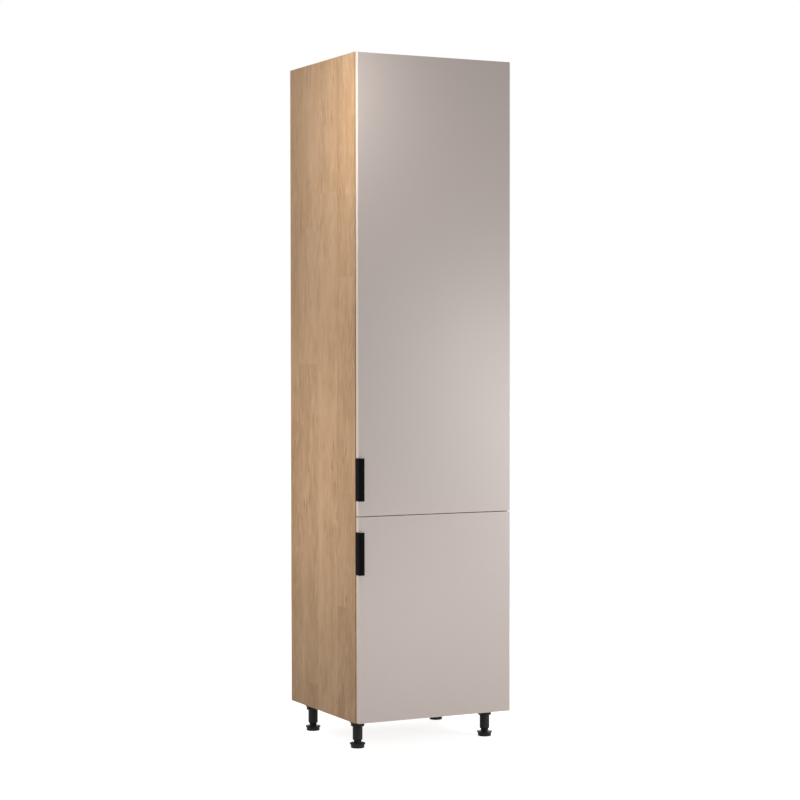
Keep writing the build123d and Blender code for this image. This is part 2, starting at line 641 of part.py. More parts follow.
def hinge_plate(z):
    """Mounting plate on the right side: a rib under the arm and two screw wings."""
    rib_half = ARM_WIDTH / 2 - ARM_FLANGE - FIT
    rib_y = (Y_FRONT + PLATE_RIB_START, Y_FRONT + PLATE_RIB_END)
    rib = slab((X_ARM_RIGHT, X_INNER), rib_y, (z - rib_half, z + rib_half))
    wings = Rot(0, 0, 90) * SlotCenterToCenter(PLATE_SCREW_SPACING, 2 * PLATE_WING_R)
    wings = Pos(X_INNER - PLATE_WING, Y_FRONT + PLATE_LINE, z) * extrude(Plane.YZ * wings, PLATE_WING)
    holes = [place * shank_hole(PLATE_SCREW) for place in plate_screw_places()]
    holes += [place * shank_hole(ARM_SCREW) for place in arm_screw_places([z])]
    return rib + wings - holes


def plate_screw_places():
    """Where the plate screws start: on each wing, pointing into the right side."""
    half = PLATE_SCREW_SPACING / 2
    x = X_INNER - PLATE_WING
    return [Pos(x, Y_FRONT + PLATE_LINE, z + s * half) * TO_RIGHT for z in HINGE_Z for s in SIDES]


def door_bumpers():
    """Soft bumpers on the left side's front edge, near both ends of each door."""
    y = (Y_DOOR_REAR + BUMPER_CLEAR, Y_FRONT)
    bumpers = []
    for low, high in (LOWER_DOOR_Z, UPPER_DOOR_Z):
        for level in (low + BUMPER_FROM_DOOR_END, high - BUMPER_FROM_DOOR_END):
            bumper = rod_y(-(X_INNER + X_OUTER) / 2, y, level, BUMPER_R)
            face = bumper.faces().sort_by(Axis.Y)[0]
            bumpers.append(fillet(face.edges(), BUMPER_ROUND))
    return bumpers


def placed(screw, places):
    """Copies of one screw at each place."""
    return [place * screw for place in places]


def carcass_nodes():
    """Boards, shelves and the fittings between them."""
    cam_faces = {"bottom_panel": -1, "middle_shelf": -1, "top_panel": 1}
    fittings = [(side, z + BOARD / 2, cam_faces[name]) for name, z in PANEL_Z.items() for side in SIDES]
    nodes = {
        "left_side_panel": [side_panel(-1)],
        "right_side_panel": [side_panel(1)],
        "top_panel": [top_panel()],
        "bottom_panel": [bottom_panel()],
        "middle_shelf": [fixed_panel(Z_MIDDLE, Y_BACK_FRONT - FIT, -1)],
        "back_panel": [back_panel()],
        "lower_shelf": [loose_shelf(LOWER_SHELF_Z[0])],
        "carcass_edge_bands": carcass_edge_bands(),
        "shelf_pins": [shelf_pin(side, y, z) for z in SHELF_Z for y in PIN_YS for side in SIDES],
        "cam_housings": [cam_housing(side, y, z, face) for side, z, face in fittings for y in CAM_YS],
        "cam_bolts": [cam_bolt(side, y, z) for side, z, face in fittings for y in CAM_YS],
        "wood_dowels": [dowel(side, y, z) for side, z, face in fittings for y in DOWEL_YS],
        "wall_angles": [wall_angle(side) for side in SIDES],
        "wall_angle_screws": placed(pan_screw(ANGLE_SCREW), angle_screw_places()),
        "door_bumpers": door_bumpers(),
    }
    for i, z in enumerate(UPPER_SHELF_Z, 1):
        nodes[f"upper_shelf_{i}"] = [loose_shelf(z)]
    return nodes


def leg_nodes():
    """Sockets, tubes, feet and socket screws."""
    nodes = {"leg_screws": placed(pan_screw(LEG_SCREW), all_leg_screw_places())}
    for name, place in LEGS.items():
        nodes[f"{name}_leg_socket"] = [leg_socket(*place)]
        nodes[f"{name}_leg_tube"] = [leg_tube(*place)]
        nodes[f"{name}_foot"] = [leg_foot(*place)]
    return nodes


def door_nodes(name, z, hinge_z, pull_z):
    """One door with its bands, pull and hinges' door halves, and the arms that carry it."""
    nodes = {
        f"{name}_door": [door(z, hinge_z, pull_z)],
        f"{name}_door_edge_bands": door_edge_bands(z),
        f"{name}_pull": [pull(pull_z)],
        f"{name}_pull_screws": placed(flat_screw(PULL_SCREW), pull_screw_places(pull_z)),
        f"{name}_hinge_pins": [hinge_pin(level) for level in hinge_z],
        f"{name}_cup_screws": placed(flat_screw(CUP_SCREW), cup_screw_places(hinge_z)),
    }
    for i, level in enumerate(hinge_z, 1):
        nodes[f"{name}_hinge_cup_{i}"] = [hinge_cup(level)]
        nodes[f"{name}_hinge_arm_{i}"] = [hinge_arm(level)]
    return nodes


def hinge_plate_nodes():
    """Mounting plates of both doors' hinges and their screws."""
    return {
        "hinge_plates": [hinge_plate(z) for z in HINGE_Z],
        "plate_screws": placed(pan_screw(PLATE_SCREW), plate_screw_places()),
        "arm_screws": placed(pan_screw(ARM_SCREW), arm_screw_places(HINGE_Z)),
    }


def write(name, pieces):
    """Export one node, its pieces as separate solids."""
    solids = [solid for piece in pieces for solid in piece.solids()]
    export_step(solids[0] if len(solids) == 1 else Compound(solids), f"parts/{name}.step")


os.makedirs("parts", exist_ok=True)
all_nodes = {
    **carcass_nodes(),
    **leg_nodes(),
    **door_nodes("lower", LOWER_DOOR_Z, LOWER_HINGE_Z, LOWER_PULL_Z),
    **door_nodes("upper", UPPER_DOOR_Z, UPPER_HINGE_Z, UPPER_PULL_Z),
    **hinge_plate_nodes(),
}
for node, pieces in all_nodes.items():
    write(node, pieces)
print(len(all_nodes), "nodes")
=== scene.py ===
import math

import bmesh
import bpy
import numpy as np
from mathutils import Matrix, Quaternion, Vector


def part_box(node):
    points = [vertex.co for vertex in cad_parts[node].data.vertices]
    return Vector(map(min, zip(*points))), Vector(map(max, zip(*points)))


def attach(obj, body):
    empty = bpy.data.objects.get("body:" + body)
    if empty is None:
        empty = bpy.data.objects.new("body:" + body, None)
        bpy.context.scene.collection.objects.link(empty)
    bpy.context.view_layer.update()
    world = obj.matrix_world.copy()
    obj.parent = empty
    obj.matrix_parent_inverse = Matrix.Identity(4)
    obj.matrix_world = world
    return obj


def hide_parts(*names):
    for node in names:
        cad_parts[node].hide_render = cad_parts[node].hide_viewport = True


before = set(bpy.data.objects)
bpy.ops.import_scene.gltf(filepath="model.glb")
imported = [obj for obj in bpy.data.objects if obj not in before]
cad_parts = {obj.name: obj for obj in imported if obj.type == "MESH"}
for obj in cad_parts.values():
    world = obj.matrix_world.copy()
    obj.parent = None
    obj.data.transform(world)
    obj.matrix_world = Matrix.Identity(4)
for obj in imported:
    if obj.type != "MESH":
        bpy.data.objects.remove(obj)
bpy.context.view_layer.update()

bl_info = {
    "name": "Tall kitchen cabinet",
    "version": (1, 0, 0),
    "blender": (4, 5, 0),
    "location": "3D View > Sidebar > Cabinet",
    "description": "Finishes the cabinet's boards, doors, pulls, legs and fittings and sets up a studio",
    "category": "Object",
}

MM = 0.001
TAU = 2 * np.pi
QUARTER_TURN = np.pi / 2
BOTH_WAYS = (-1, 1)
WHITE = (1, 1, 1, 1)
LEGS = ("front_left", "front_right", "rear_left", "rear_right")
# Doors, with the number of hinges on each
DOORS = {"lower": 2, "upper": 4}
LEVEL_BOARDS = ("top_panel", "bottom_panel", "middle_shelf", "lower_shelf")
LEVEL_BOARDS += tuple(f"upper_shelf_{i}" for i in (1, 2, 3))
UPRIGHT_BOARDS = ("left_side_panel", "right_side_panel")

# Gaps within which points merge and flat faces dissolve, and the angle above which edges stay sharp
MERGE_GAP = 1e-6
FLAT_GAP = 1e-7
SHARP_ANGLE = math.radians(35)

# Where screws and fittings sit on the pieces that carry them, in metres
LEG_SCREW_OUT = 23 * MM
PULL_SCREW_IN = 19 * MM
PULL_SCREW_OUT = 48 * MM
CUP_SCREW_IN = 6 * MM
CUP_SCREW_OUT = 22.5 * MM
PLATE_SCREW_BACK = 37 * MM
PLATE_SCREW_OUT = 16 * MM
PLATE_THICK = 2.6 * MM
ARM_SCREWS_BACK = (25 * MM, 55 * MM)
ANGLE_WIDE = 40 * MM
ANGLE_THICK = 2 * MM
ANGLE_SCREW_OUT = 11 * MM
BUMPER_IN = 30 * MM
CAM_RADIUS = 7.4 * MM
CAM_TALL = 12 * MM

# Cross recesses: length and width of a bar, and depth, in metres
SCREW_CROSS = np.array([3.4, 0.7, 1.0]) * MM
CAM_CROSS = np.array([7.0, 1.2, 1.6]) * MM

# Screws: head radius, head height, shank radius, length, and how far a face stands proud, in mm
PULL_SCREW = (3.0, 1.5, 1.4, 11.0, 0.1)
CUP_SCREW = (3.4, 1.2, 1.7, 11.0)
LEG_SCREW = (3.4, 1.8, 1.7, 13.0)
PLATE_SCREW = (4.2, 2.0, 2.4, 13.0)
ARM_SCREW = (3.6, 1.8, 2.2, 9.0)
ANGLE_SCREW = (3.6, 1.8, 1.9, 12.0)

# Softboxes: place, point that it faces, width and height, and roll in degrees
SOFTBOXES = {
    "corner": ((-0.55, -0.62, 2.35), (-0.29, -0.28, 2.2), (0.25, 0.25), 0),
    "edge": ((-0.62, -0.42, 2.2), (-0.3, -0.26, 2.2), (0.2, 0.2), 0),
    "side_top": ((-0.95, -0.4, 2.2), (-0.3, -0.22, 2.18), (0.3, 0.3), 0),
    "side": ((-1.0, 0.0, 0.95), (-0.3, 0.0, 0.95), (0.7, 0.9), 0),
    "sweep": ((1.75, -2.3, 0.9), (0.2, -0.28, 1.0), (0.5, 1.7), 35),
    "low": ((0.7, -2.3, 0.3), (-0.2, -0.28, 0.4), (1.0, 0.5), 0),
    "low_left": ((-0.4, -1.3, 0.35), (-0.22, -0.28, 0.4), (0.5, 0.4), 0),
    "back": ((1.9, 3.0, 2.2), (0, 0.2, 1.2), (1.5, 1.5), 0),
    "above": ((0.5, 1.2, 4.2), (0, 0, 2.2), (1.2, 1.2), 0),
}
# Small softboxes close to the cabinet, which would show as spots in its satin doors
UNMIRRORED = ("corner", "edge", "side_top", "side", "low_left")
FLOOR_GREY = (0.5, 0.5, 0.5, 1)
FLOOR_PROFILE = np.array([(0, 0), (1, 0), (8, 0), (70, 0)])

# Depth of every bump, and tints that the shader groups multiply a base colour by
BUMP_DEPTH = 0.2 * MM
STREAK_TINT = (0.46, 0.37, 0.28, 1)
SHEEN_TINT = (0.955, 0.95, 0.945, 1)
PIT_TINT = (1.9, 1.9, 1.9, 1)
CLOUD_TINT = (0.72, 0.71, 0.70, 1)


# Properties


def linear(red, green, blue):
    """Linear colour of an sRGB colour given in steps of 0 to 255."""
    steps = np.array([red, green, blue]) / 255
    return tuple(np.where(steps <= 0.04045, steps / 12.92, ((steps + 0.055) / 1.055) ** 2.4))


def length(name, description, millimetres):
    """Length property with its default in millimetres."""
    return bpy.props.FloatProperty(
        name=name, description=description, default=millimetres * MM, min=0, unit="LENGTH", precision=4
    )


def count(name, description, default):
    """Whole-number property."""
    return bpy.props.IntProperty(name=name, description=description, default=default, min=3)


def amount(name, description, default):
    """Plain number property that isn't negative."""
    return bpy.props.FloatProperty(name=name, description=description, default=default, min=0)


def angle_of(name, description, degrees):
    """Angle property with its default in degrees."""
    return bpy.props.FloatProperty(
        name=name, description=description, default=math.radians(degrees), subtype="ANGLE", precision=3
    )


def colour(name, description, red, green, blue):
    """Colour property with its default in sRGB steps."""
    return bpy.props.FloatVectorProperty(
        name=name, description=description, default=linear(red, green, blue), min=0, max=1, subtype="COLOR"
    )


class CabinetSizes(bpy.types.PropertyGroup):
    """Sizes of the details that are finer than the CAD solids."""

    collar_radius: length("Collar radius", "Radius of a leg socket's collar", 23.5)
    stem_radius: length("Stem radius", "Outer radius of a foot's threaded stem", 13.5)
    foot_radius: length("Foot radius", "Radius of a foot's base", 23.8)
    foot_rim_low: length("Foot rim low", "Height of the underside of a foot's rim", 12)
    foot_rim_high: length("Foot rim high", "Height of the top of a foot's rim", 17)
    thread_pitch: length("Thread pitch", "Rise of a foot's thread in one turn", 4)
    thread_depth: length("Thread depth", "Depth of a foot's thread", 1.1)
    rim_grips: count("Rim grips", "Notches round a foot's rim", 32)
    rim_grip_depth: length("Rim grip depth", "Depth of the notches round a foot's rim", 0.9)
    socket_ribs: count("Socket ribs", "Ribs between a leg socket's collar and plate", 8)
    socket_rib_reach: length("Socket rib reach", "How far a rib stands out under the plate", 6)
    pull_lip: length("Pull lip", "Thickness of a pull's front lip", 2)
    pull_sheet: length("Pull sheet", "Thickness of a pull's sheet behind the lip", 1.5)
    pull_lip_width: length("Pull lip width", "Width of a pull's front lip", 20)
    pull_edge: length("Pull edge", "Rounding of a pull's edges", 0.5)
    stave_width: length("Stave width", "Width of a stave in the oak decor", 165)
    stave_length: length("Stave length", "Length of a stave in the oak decor", 1150)


class CabinetColours(bpy.types.PropertyGroup):
    """Colours of the finishes."""

    oak_light: colour("Oak light", "Light wood of the oak decor", 203, 167, 131)
    oak_dark: colour("Oak dark", "Dark wood of the oak decor", 171, 135, 99)
    chip_light: colour("Chip light", "Light flakes of a raw board edge", 214, 188, 150)
    chip_dark: colour("Chip dark", "Dark flakes of a raw board edge", 150, 117, 80)
    door: colour("Door", "Satin lacquer of the doors", 187, 175, 169)
    # Paler than the doors' lacquer, which the bands really share: a painted highlight of the light from the
    # left on the edges
    door_edge: colour("Door edge", "Bands on the doors' edges", 219, 204, 189)
    back_inside: colour("Back inside", "White face of the back, inside the cabinet", 228, 226, 221)
    back_outside: colour("Back outside", "Brown face of the back", 146, 110, 76)
    coat: colour("Pull coat", "Matt black coating of the pulls", 10, 10, 11)
    coat_worn: colour("Pull coat, worn", "Rubbed edges of the pulls", 38, 38, 40)
    plastic: colour("Leg plastic", "Black plastic of the legs", 17, 17, 17)
    nickel: colour("Nickel", "Plating of hinges and screws", 205, 202, 196)
    zinc: colour("Zinc", "Die-cast cams and hinge plates", 168, 168, 170)
    beech: colour("Beech", "Wood of the dowels", 214, 182, 140)
    bumper: colour("Bumper", "Clear soft plastic of the bumpers", 235, 236, 232)


class CabinetStudio(bpy.types.PropertyGroup):
    """Camera, lights and floor."""

    lens: amount("Lens", "Focal length in millimetres on a 36 mm square frame", 94.396)
    camera: bpy.props.FloatVectorProperty(
        name="Camera", description="Place of the camera", subtype="TRANSLATION",
        default=(-3.3854, -6.7726, 1.3906),
    )
    yaw: angle_of("Yaw", "Camera's turn to the right of straight ahead", 26.571)
    pitch: angle_of("Pitch", "Camera's tilt below the horizon", 1.379)
    roll: angle_of("Roll", "Camera's turn to the right about its own axis", 0.06)
    ambient: amount("Ambient", "Light from all round on dull surfaces", 0.37)
    corner: amount("Corner", "Watts of the small light near the door's top left corner", 1.2)
    edge: amount("Edge", "Watts of the small light near the oak side's top front corner", 0.35)
    side_top: amount("Side top", "Watts of the light high on the left", 4.0)
    side: amount("Side", "Watts of the softbox on the left", 3.8)
    sweep: amount("Sweep", "Watts of the slanted softbox in front on the right", 33.2)
    low: amount("Low", "Watts of the softbox near the floor in front", 3.6)
    low_left: amount("Low left", "Watts of the softbox near the floor on the left", 2.4)
    back: amount("Back", "Watts of the softbox behind on the right", 55)
    above: amount("Above", "Watts of the softbox above and behind", 40)
    floor_white: amount("Floor white", "Floor's own white, where it is seen", 0.85)


# Surfaces


def grid_faces(rows, columns):
    """Quads of a grid in row order: each joins a point, its right, upper right and upper neighbours."""
    row, column = np.meshgrid(np.arange(rows - 1), np.arange(columns), indexing="ij")
    up, right = row + 1, (column + 1) % columns
    corners = (row * columns + column, row * columns + right, up * columns + right, up * columns + column)
    return np.stack(corners, -1).reshape(-1, 4)


def surface(name, grids, material, wear=None):
    """Object from grids of points (rows, columns, 3) whose columns close on themselves.

    Points that meet are merged, so poles and seams are closed, and faces are turned outwards.
    Wear, one value a point, becomes the attribute wear.
    """
    faces, base = [], 0
    for grid in grids:
        faces.append(grid_faces(*grid.shape[:2]) + base)
        base += grid.shape[0] * grid.shape[1]
    points = np.concatenate([grid.reshape(-1, 3) for grid in grids])
    mesh = bpy.data.meshes.new(name)
    mesh.from_pydata(points, [], np.concatenate(faces))
    if wear is not None:
        attribute = mesh.attributes.new("wear", "FLOAT", "POINT")
        attribute.data.foreach_set("value", wear.ravel().astype(np.float32))
    tidy = bmesh.new()
    tidy.from_mesh(mesh)
    bmesh.ops.remove_doubles(tidy, verts=tidy.verts, dist=MERGE_GAP)
    bmesh.ops.dissolve_degenerate(tidy, dist=FLAT_GAP, edges=tidy.edges)
    bmesh.ops.recalc_face_normals(tidy, faces=tidy.faces)
    tidy.to_mesh(mesh)
    tidy.free()
    mesh.shade_smooth()
    mesh.set_sharp_from_angle(angle=SHARP_ANGLE)
    mesh.materials.append(material)
    made = bpy.data.objects.new(name, mesh)
    bpy.context.scene.collection.objects.link(made)
    return made


def unit(vectors):
    """Rows of vectors, each brought to length 1."""
    return vectors / np.linalg.norm(vectors, axis=1, keepdims=True)


def rounded(corners, radii, steps=6):
    """Open line through corners with an arc at each inner one.

    An arc's centre lies on the corner's bisector at radius over the sine of half the angle, and
    its points turn from one tangent point to the other by spherical interpolation.
    """
    corners = np.asarray(corners, float)
    radii = np.asarray(radii, float)[:, None]
    inner = corners[1:-1]
    before, after = unit(corners[:-2] - inner), unit(corners[2:] - inner)
    half = np.arccos(np.clip((before * after).sum(1, keepdims=True), -1, 1)) / 2
    centre = inner + unit(before + after) * radii / np.sin(half)
    start = inner + before * radii / np.tan(half) - centre
    end = inner + after * radii / np.tan(half) - centre
    turn = (np.pi - 2 * half)[:, None, :]
    step = np.linspace(0, 1, steps)[None, :, None]
    weights = np.sin((1 - step) * turn), np.sin(step * turn)
    arcs = centre[:, None] + (weights[0] * start[:, None] + weights[1] * end[:, None]) / np.sin(turn)
    return np.concatenate([corners[:1], arcs.reshape(-1, corners.shape[1]), corners[-1:]])


def angles(columns):
    """Angles of the columns of a turned grid."""
    return np.arange(columns) * TAU / columns


def round_grid(radius, height, angle):
    """Grid about Z: x = r cos a, y = r sin a, z = h."""
    return np.stack([radius * np.cos(angle), radius * np.sin(angle), height + 0 * angle], -1)


def turned(profile, columns):
    """Grid of a (radius, height) profile turned about Z."""
    return round_grid(profile[:, :1], profile[:, 1:], angles(columns))


def placed(grid, places, direction=(0, 0, 1)):
    """Copies of a grid, its +Z turned to the direction, at each of the places."""
    turn = np.array(Vector((0, 0, 1)).rotation_difference(Vector(direction)).to_matrix())
    return [grid @ turn.T + np.asarray(place, float) for place in places]


def cross_recessed(head, profile, size, columns=48, rows=14):
    """Turned piece along +Z with a cross sunk in its face.

    The face is a grid of radius and angle. It stands out by the crown at the middle, and less with
    the square of the radius. Where a point lies in a bar of the cross, it sinks by the depth, with
    walls a tenth of the bar's length thick. The profile goes on from the rim.
    """
    radius, crown = head
    across, width, depth = size
    share = np.linspace(0, 1, rows)[:, None]
    angle = angles(columns)
    x, y = radius * share * np.cos(angle), radius * share * np.sin(angle)
    wall = across / 10
    bars = [np.clip((across / 2 - abs(u)) / wall, 0, 1) * np.clip((width / 2 + wall - abs(v)) / wall, 0, 1)
            for u, v in ((x, y), (y, x))]
    rim = profile[0, 1]
    face = np.stack([x, y, rim - crown * (1 - share**2) + depth * np.maximum(*bars)], -1)
    return np.concatenate([face, turned(profile, columns)])


def pan_screw(head_r, head, shank_r, long):
    """Pan-head screw, sizes in mm: crowned face with a cross, rounded rim, flat underside, shank, point."""
    face_r, face, shoulder, crown = 0.86 * head_r, 0.7 * head, 0.6 * head, 0.3 * head
    rim = rounded([(face_r, -face), (head_r, -shoulder), (head_r, 0), (shank_r, 0)],
                  [0.12 * head_r, 0.02 * head_r])
    shank = np.array([(shank_r, long - shank_r), (0, long)])
    profile = np.concatenate([rim, shank]) * MM
    return cross_recessed((profile[0, 0], crown * MM), profile, SCREW_CROSS)


def flat_screw(head_r, head, shank_r, long, proud=0.0):
    """Countersunk screw, sizes in mm: flat face with a cross, cone under it, shank and point."""
    chamfer, drop, crown = 0.15, 0.1, 0.02
    rim = [(head_r - chamfer, -proud), (head_r, drop)]
    profile = np.array(rim + [(shank_r, head), (shank_r, long - shank_r), (0, long)]) * MM
    return cross_recessed((profile[0, 0], crown * MM), profile, SCREW_CROSS)


def leg_place(leg):
    """Centre of a leg on the floor, from its tube's box."""
    low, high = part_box(f"{leg}_leg_tube")
    return np.array([(low.x + high.x) / 2, (low.y + high.y) / 2, 0])


def socket_grid(leg, sizes):
    """Leg socket round Z: each row has a radius, a height, how square it is and how far its ribs reach.

    A square row's radius is half its side over a high-power norm of the direction, which is a
    square with round corners. Ribs add a narrow pulse of the angle, times their reach.
    """
    low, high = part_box(f"{leg}_leg_socket")
    tube_low, tube_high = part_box(f"{leg}_leg_tube")
    slack, edge, lip, bead, bead_high = 0.1 * MM, 0.6 * MM, 2 * MM, 0.5 * MM, 5 * MM
    half, bottom, top = (high.x - low.x) / 2, low.z, high.z
    plate, bore = tube_high.z, (tube_high.x - tube_low.x) / 2 + slack
    collar, rib = sizes.collar_radius, sizes.socket_rib_reach
    rows = np.array([
        (0, top, 1, 0),
        (half - edge, top, 1, 0),
        (half, top - edge, 1, 0),
        (half, plate + edge, 1, 0),
        (half - edge, plate, 1, 0),
        (collar + lip, plate, 0, rib),
        (collar + edge, plate - edge, 0, rib),
        (collar, plate - lip, 0, rib),
        (collar, plate - 5 * MM, 0, 0.75 * rib),
        (collar, plate - 9 * MM, 0, 0.3 * rib),
        (collar, plate - 12 * MM, 0, 0),
        (collar, bottom + bead_high, 0, 0),
        (collar + bead, bottom + bead_high - bead, 0, 0),
        (collar + bead, bottom + 1.8 * MM, 0, 0),
        (collar - 1.2 * MM, bottom, 0, 0),
        (bore + edge, bottom, 0, 0),
        (bore, bottom + edge, 0, 0),
        (bore, plate, 0, 0),
        (0, plate, 0, 0),
    ])
    angle, power, rib_start, rib_slope = angles(240), 8.8, 0.72, 5
    corner = (abs(np.cos(angle)) ** power + abs(np.sin(angle)) ** power) ** (-1 / power)
    pulse = np.clip((-np.cos(sizes.socket_ribs * angle) - rib_start) * rib_slope, 0, 1)
    radius = rows[:, :1] * (1 + rows[:, 2:3] * (corner - 1)) + rows[:, 3:4] * pulse
    return round_grid(radius, rows[:, 1:2], angle) + leg_place(leg)


def tube_grid(leg, sizes):
    """Leg tube: its wall's profile turned about the leg's axis, with two fine mould lines along it."""
    low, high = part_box(f"{leg}_leg_tube")
    slack, slope, seam_high, seam_wide, skin, columns = 0.05 * MM, 3 * MM, 0.12 * MM, 0.08, 0.5 * MM, 96
    outer, bore = (high.x - low.x) / 2, sizes.stem_radius + slack
    corners = [(bore, high.z), (outer, high.z), (outer, low.z + slope), (outer - slope, low.z), (bore, low.z),
               (bore, high.z)]
    profile = rounded(corners, np.array([0.2, 1.0, 0.4, 0.2]) * MM)
    grid = turned(profile, columns)
    seam = np.exp(-((np.mod(angles(columns) * 2, TAU) - np.pi) / seam_wide) ** 2) * seam_high
    outside = np.where(profile[:, 0] > outer - skin, 1.0, 0.0)[:, None]
    grid[..., :2] *= (1 - outside * (seam_high - seam) / outer)[..., None]
    return grid + leg_place(leg)


def foot_grid(leg, sizes):
    """Foot: a turned base whose rim is notched by a cosine of the angle, then a threaded stem.

    The stem's radius falls from its crest by the thread's depth times a flat-topped wave of
    height over pitch less angle over a full turn, which is a helix. It starts at the neck's radius
    and runs out in a cone at the top.
    """
    low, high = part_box(f"{leg}_foot")
    rim, stem, base = (high.x - low.x) / 2, sizes.stem_radius, sizes.foot_radius
    rim_low, rim_high = sizes.foot_rim_low, sizes.foot_rim_high
    hollow, ring_in, ring_out, boss, lead = 1.2 * MM, 16 * MM, 17.5 * MM, 5 * MM, 2 * MM
    neck, neck_low, neck_high = stem - 1.2 * MM, rim_high + 0.4 * MM, rim_high + 3 * MM
    steps_a_grip, stem_rows, groove_wide, groove_slope = 6, 112, 1.6, 6
    corners = [
        (0, hollow), (ring_in, hollow), (ring_out, 0), (base, 0), (base, rim_low), (rim, rim_low),
        (rim, rim_high), (stem + boss, rim_high), (neck, neck_low), (neck, neck_high),
    ]
    profile = rounded(corners, np.array([0.5, 0.5, 2, 1, 1.2, 1.2, 2, 0.8]) * MM)
    angle = angles(sizes.rim_grips * steps_a_grip)
    notch = np.clip(np.cos(angle * sizes.rim_grips) * 2, -1, 1) / 2 - 0.5
    share = np.clip((profile[:, :1] - base) / (rim - base), 0, 1)
    foot = profile[:, :1] * (1 + notch * share * sizes.rim_grip_depth / rim)
    rise = np.linspace(neck_high, high.z, stem_rows)[1:, None]
    phase = np.mod(rise / sizes.thread_pitch - angle / TAU, 1)
    groove = np.clip(groove_wide - abs(phase - 0.5) * groove_slope, 0, 1)
    crest = stem - np.clip((rise - high.z + lead) / lead, 0, 1) * MM
    start = np.clip((rise - neck_high) / lead, 0, 1)
    thread = neck + (crest - groove * sizes.thread_depth - neck) * start
    radius = np.concatenate([foot, thread, 0 * thread[:1]])
    height = np.concatenate([profile[:, 1:], rise, rise[-1:]])
    return round_grid(radius, height, angle) + leg_place(leg)


def pull_grid(door, sizes):
    """Edge pull: a sheet's rounded section, thickness by length, carried along the bent line of the sheet.

    The line runs from the tip of the back leg round the door's edge to the lip's tip, with arcs at
    its two bends. At each point the section lies along the line's normal and along Z. Beyond both
    tips it closes in a half round. The wear mask is a bell curve of the distance from the sheet's
    two ends and from the lip's tip.
    """
    low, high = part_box(f"{door}_pull")
    sheet, lip, edge = sizes.pull_sheet, sizes.pull_lip, sizes.pull_edge
    bend_steps, tip_steps, edge_steps, long_steps, worn = 10, 7, 6, 24, 1.2 * MM
    line = rounded(
        [(high.x - sheet / 2, high.y - sheet / 2), (low.x + sheet / 2, high.y - sheet / 2),
         (low.x + sheet / 2, low.y + lip / 2), (low.x + sizes.pull_lip_width - lip / 2, low.y + lip / 2)],
        [0.9 * MM, 1.3 * MM], bend_steps,
    )
    thick = np.interp(np.arange(len(line)), (bend_steps + 1, 2 * bend_steps), (sheet, lip)) / 2
    along = unit(np.gradient(line, axis=0))
    normal = np.stack([along[:, 1], -along[:, 0]], -1)
    arc = np.linspace(0, QUARTER_TURN, tip_steps)
    ends = [(0, -np.sin(arc[::-1]), np.cos(arc[::-1])), (-1, np.sin(arc), np.cos(arc))]
    tips = [(line[i] + along[i] * s[:, None] * thick[i], normal[[i] * tip_steps], thick[i] * c)
            for i, s, c in ends]
    parts = [tips[0], (line[1:-1], normal[1:-1], thick[1:-1]), tips[1]]
    line, normal, thick = (np.concatenate(pieces) for pieces in zip(*parts))
    half, corner = (high.z - low.z) / 2, np.linspace(0, QUARTER_TURN, edge_steps)
    quarter = np.stack([1 - edge / sheet * 2 * (1 - np.cos(corner)), half - edge * (1 - np.sin(corner))], -1)
    levels = np.linspace(-half + edge, half - edge, long_steps + 2)[1:-1]
    straight = np.stack([np.ones(long_steps), levels], -1)
    loop = np.concatenate([straight, quarter, quarter[::-1] * (-1, 1), straight[::-1] * (-1, 1),
                           quarter * (-1, -1), quarter[::-1] * (1, -1)])
    flat = line[:, None] + normal[:, None] * (thick[:, None] * loop[:, 0])[..., None]
    level = (low.z + high.z) / 2 + loop[:, 1]
    grid = np.concatenate([flat, np.broadcast_to(level[:, None], flat.shape[:2] + (1,))], -1)
    at_ends = np.exp(-((half - abs(loop[:, 1])) / worn) ** 2)
    at_tip = np.exp(-((line[:, 0] - line[-1, 0]) / worn) ** 2) * (line[:, 1] < (low.y + high.y) / 2)
    return grid, np.maximum(at_ends, at_tip[:, None])


# Shader helpers


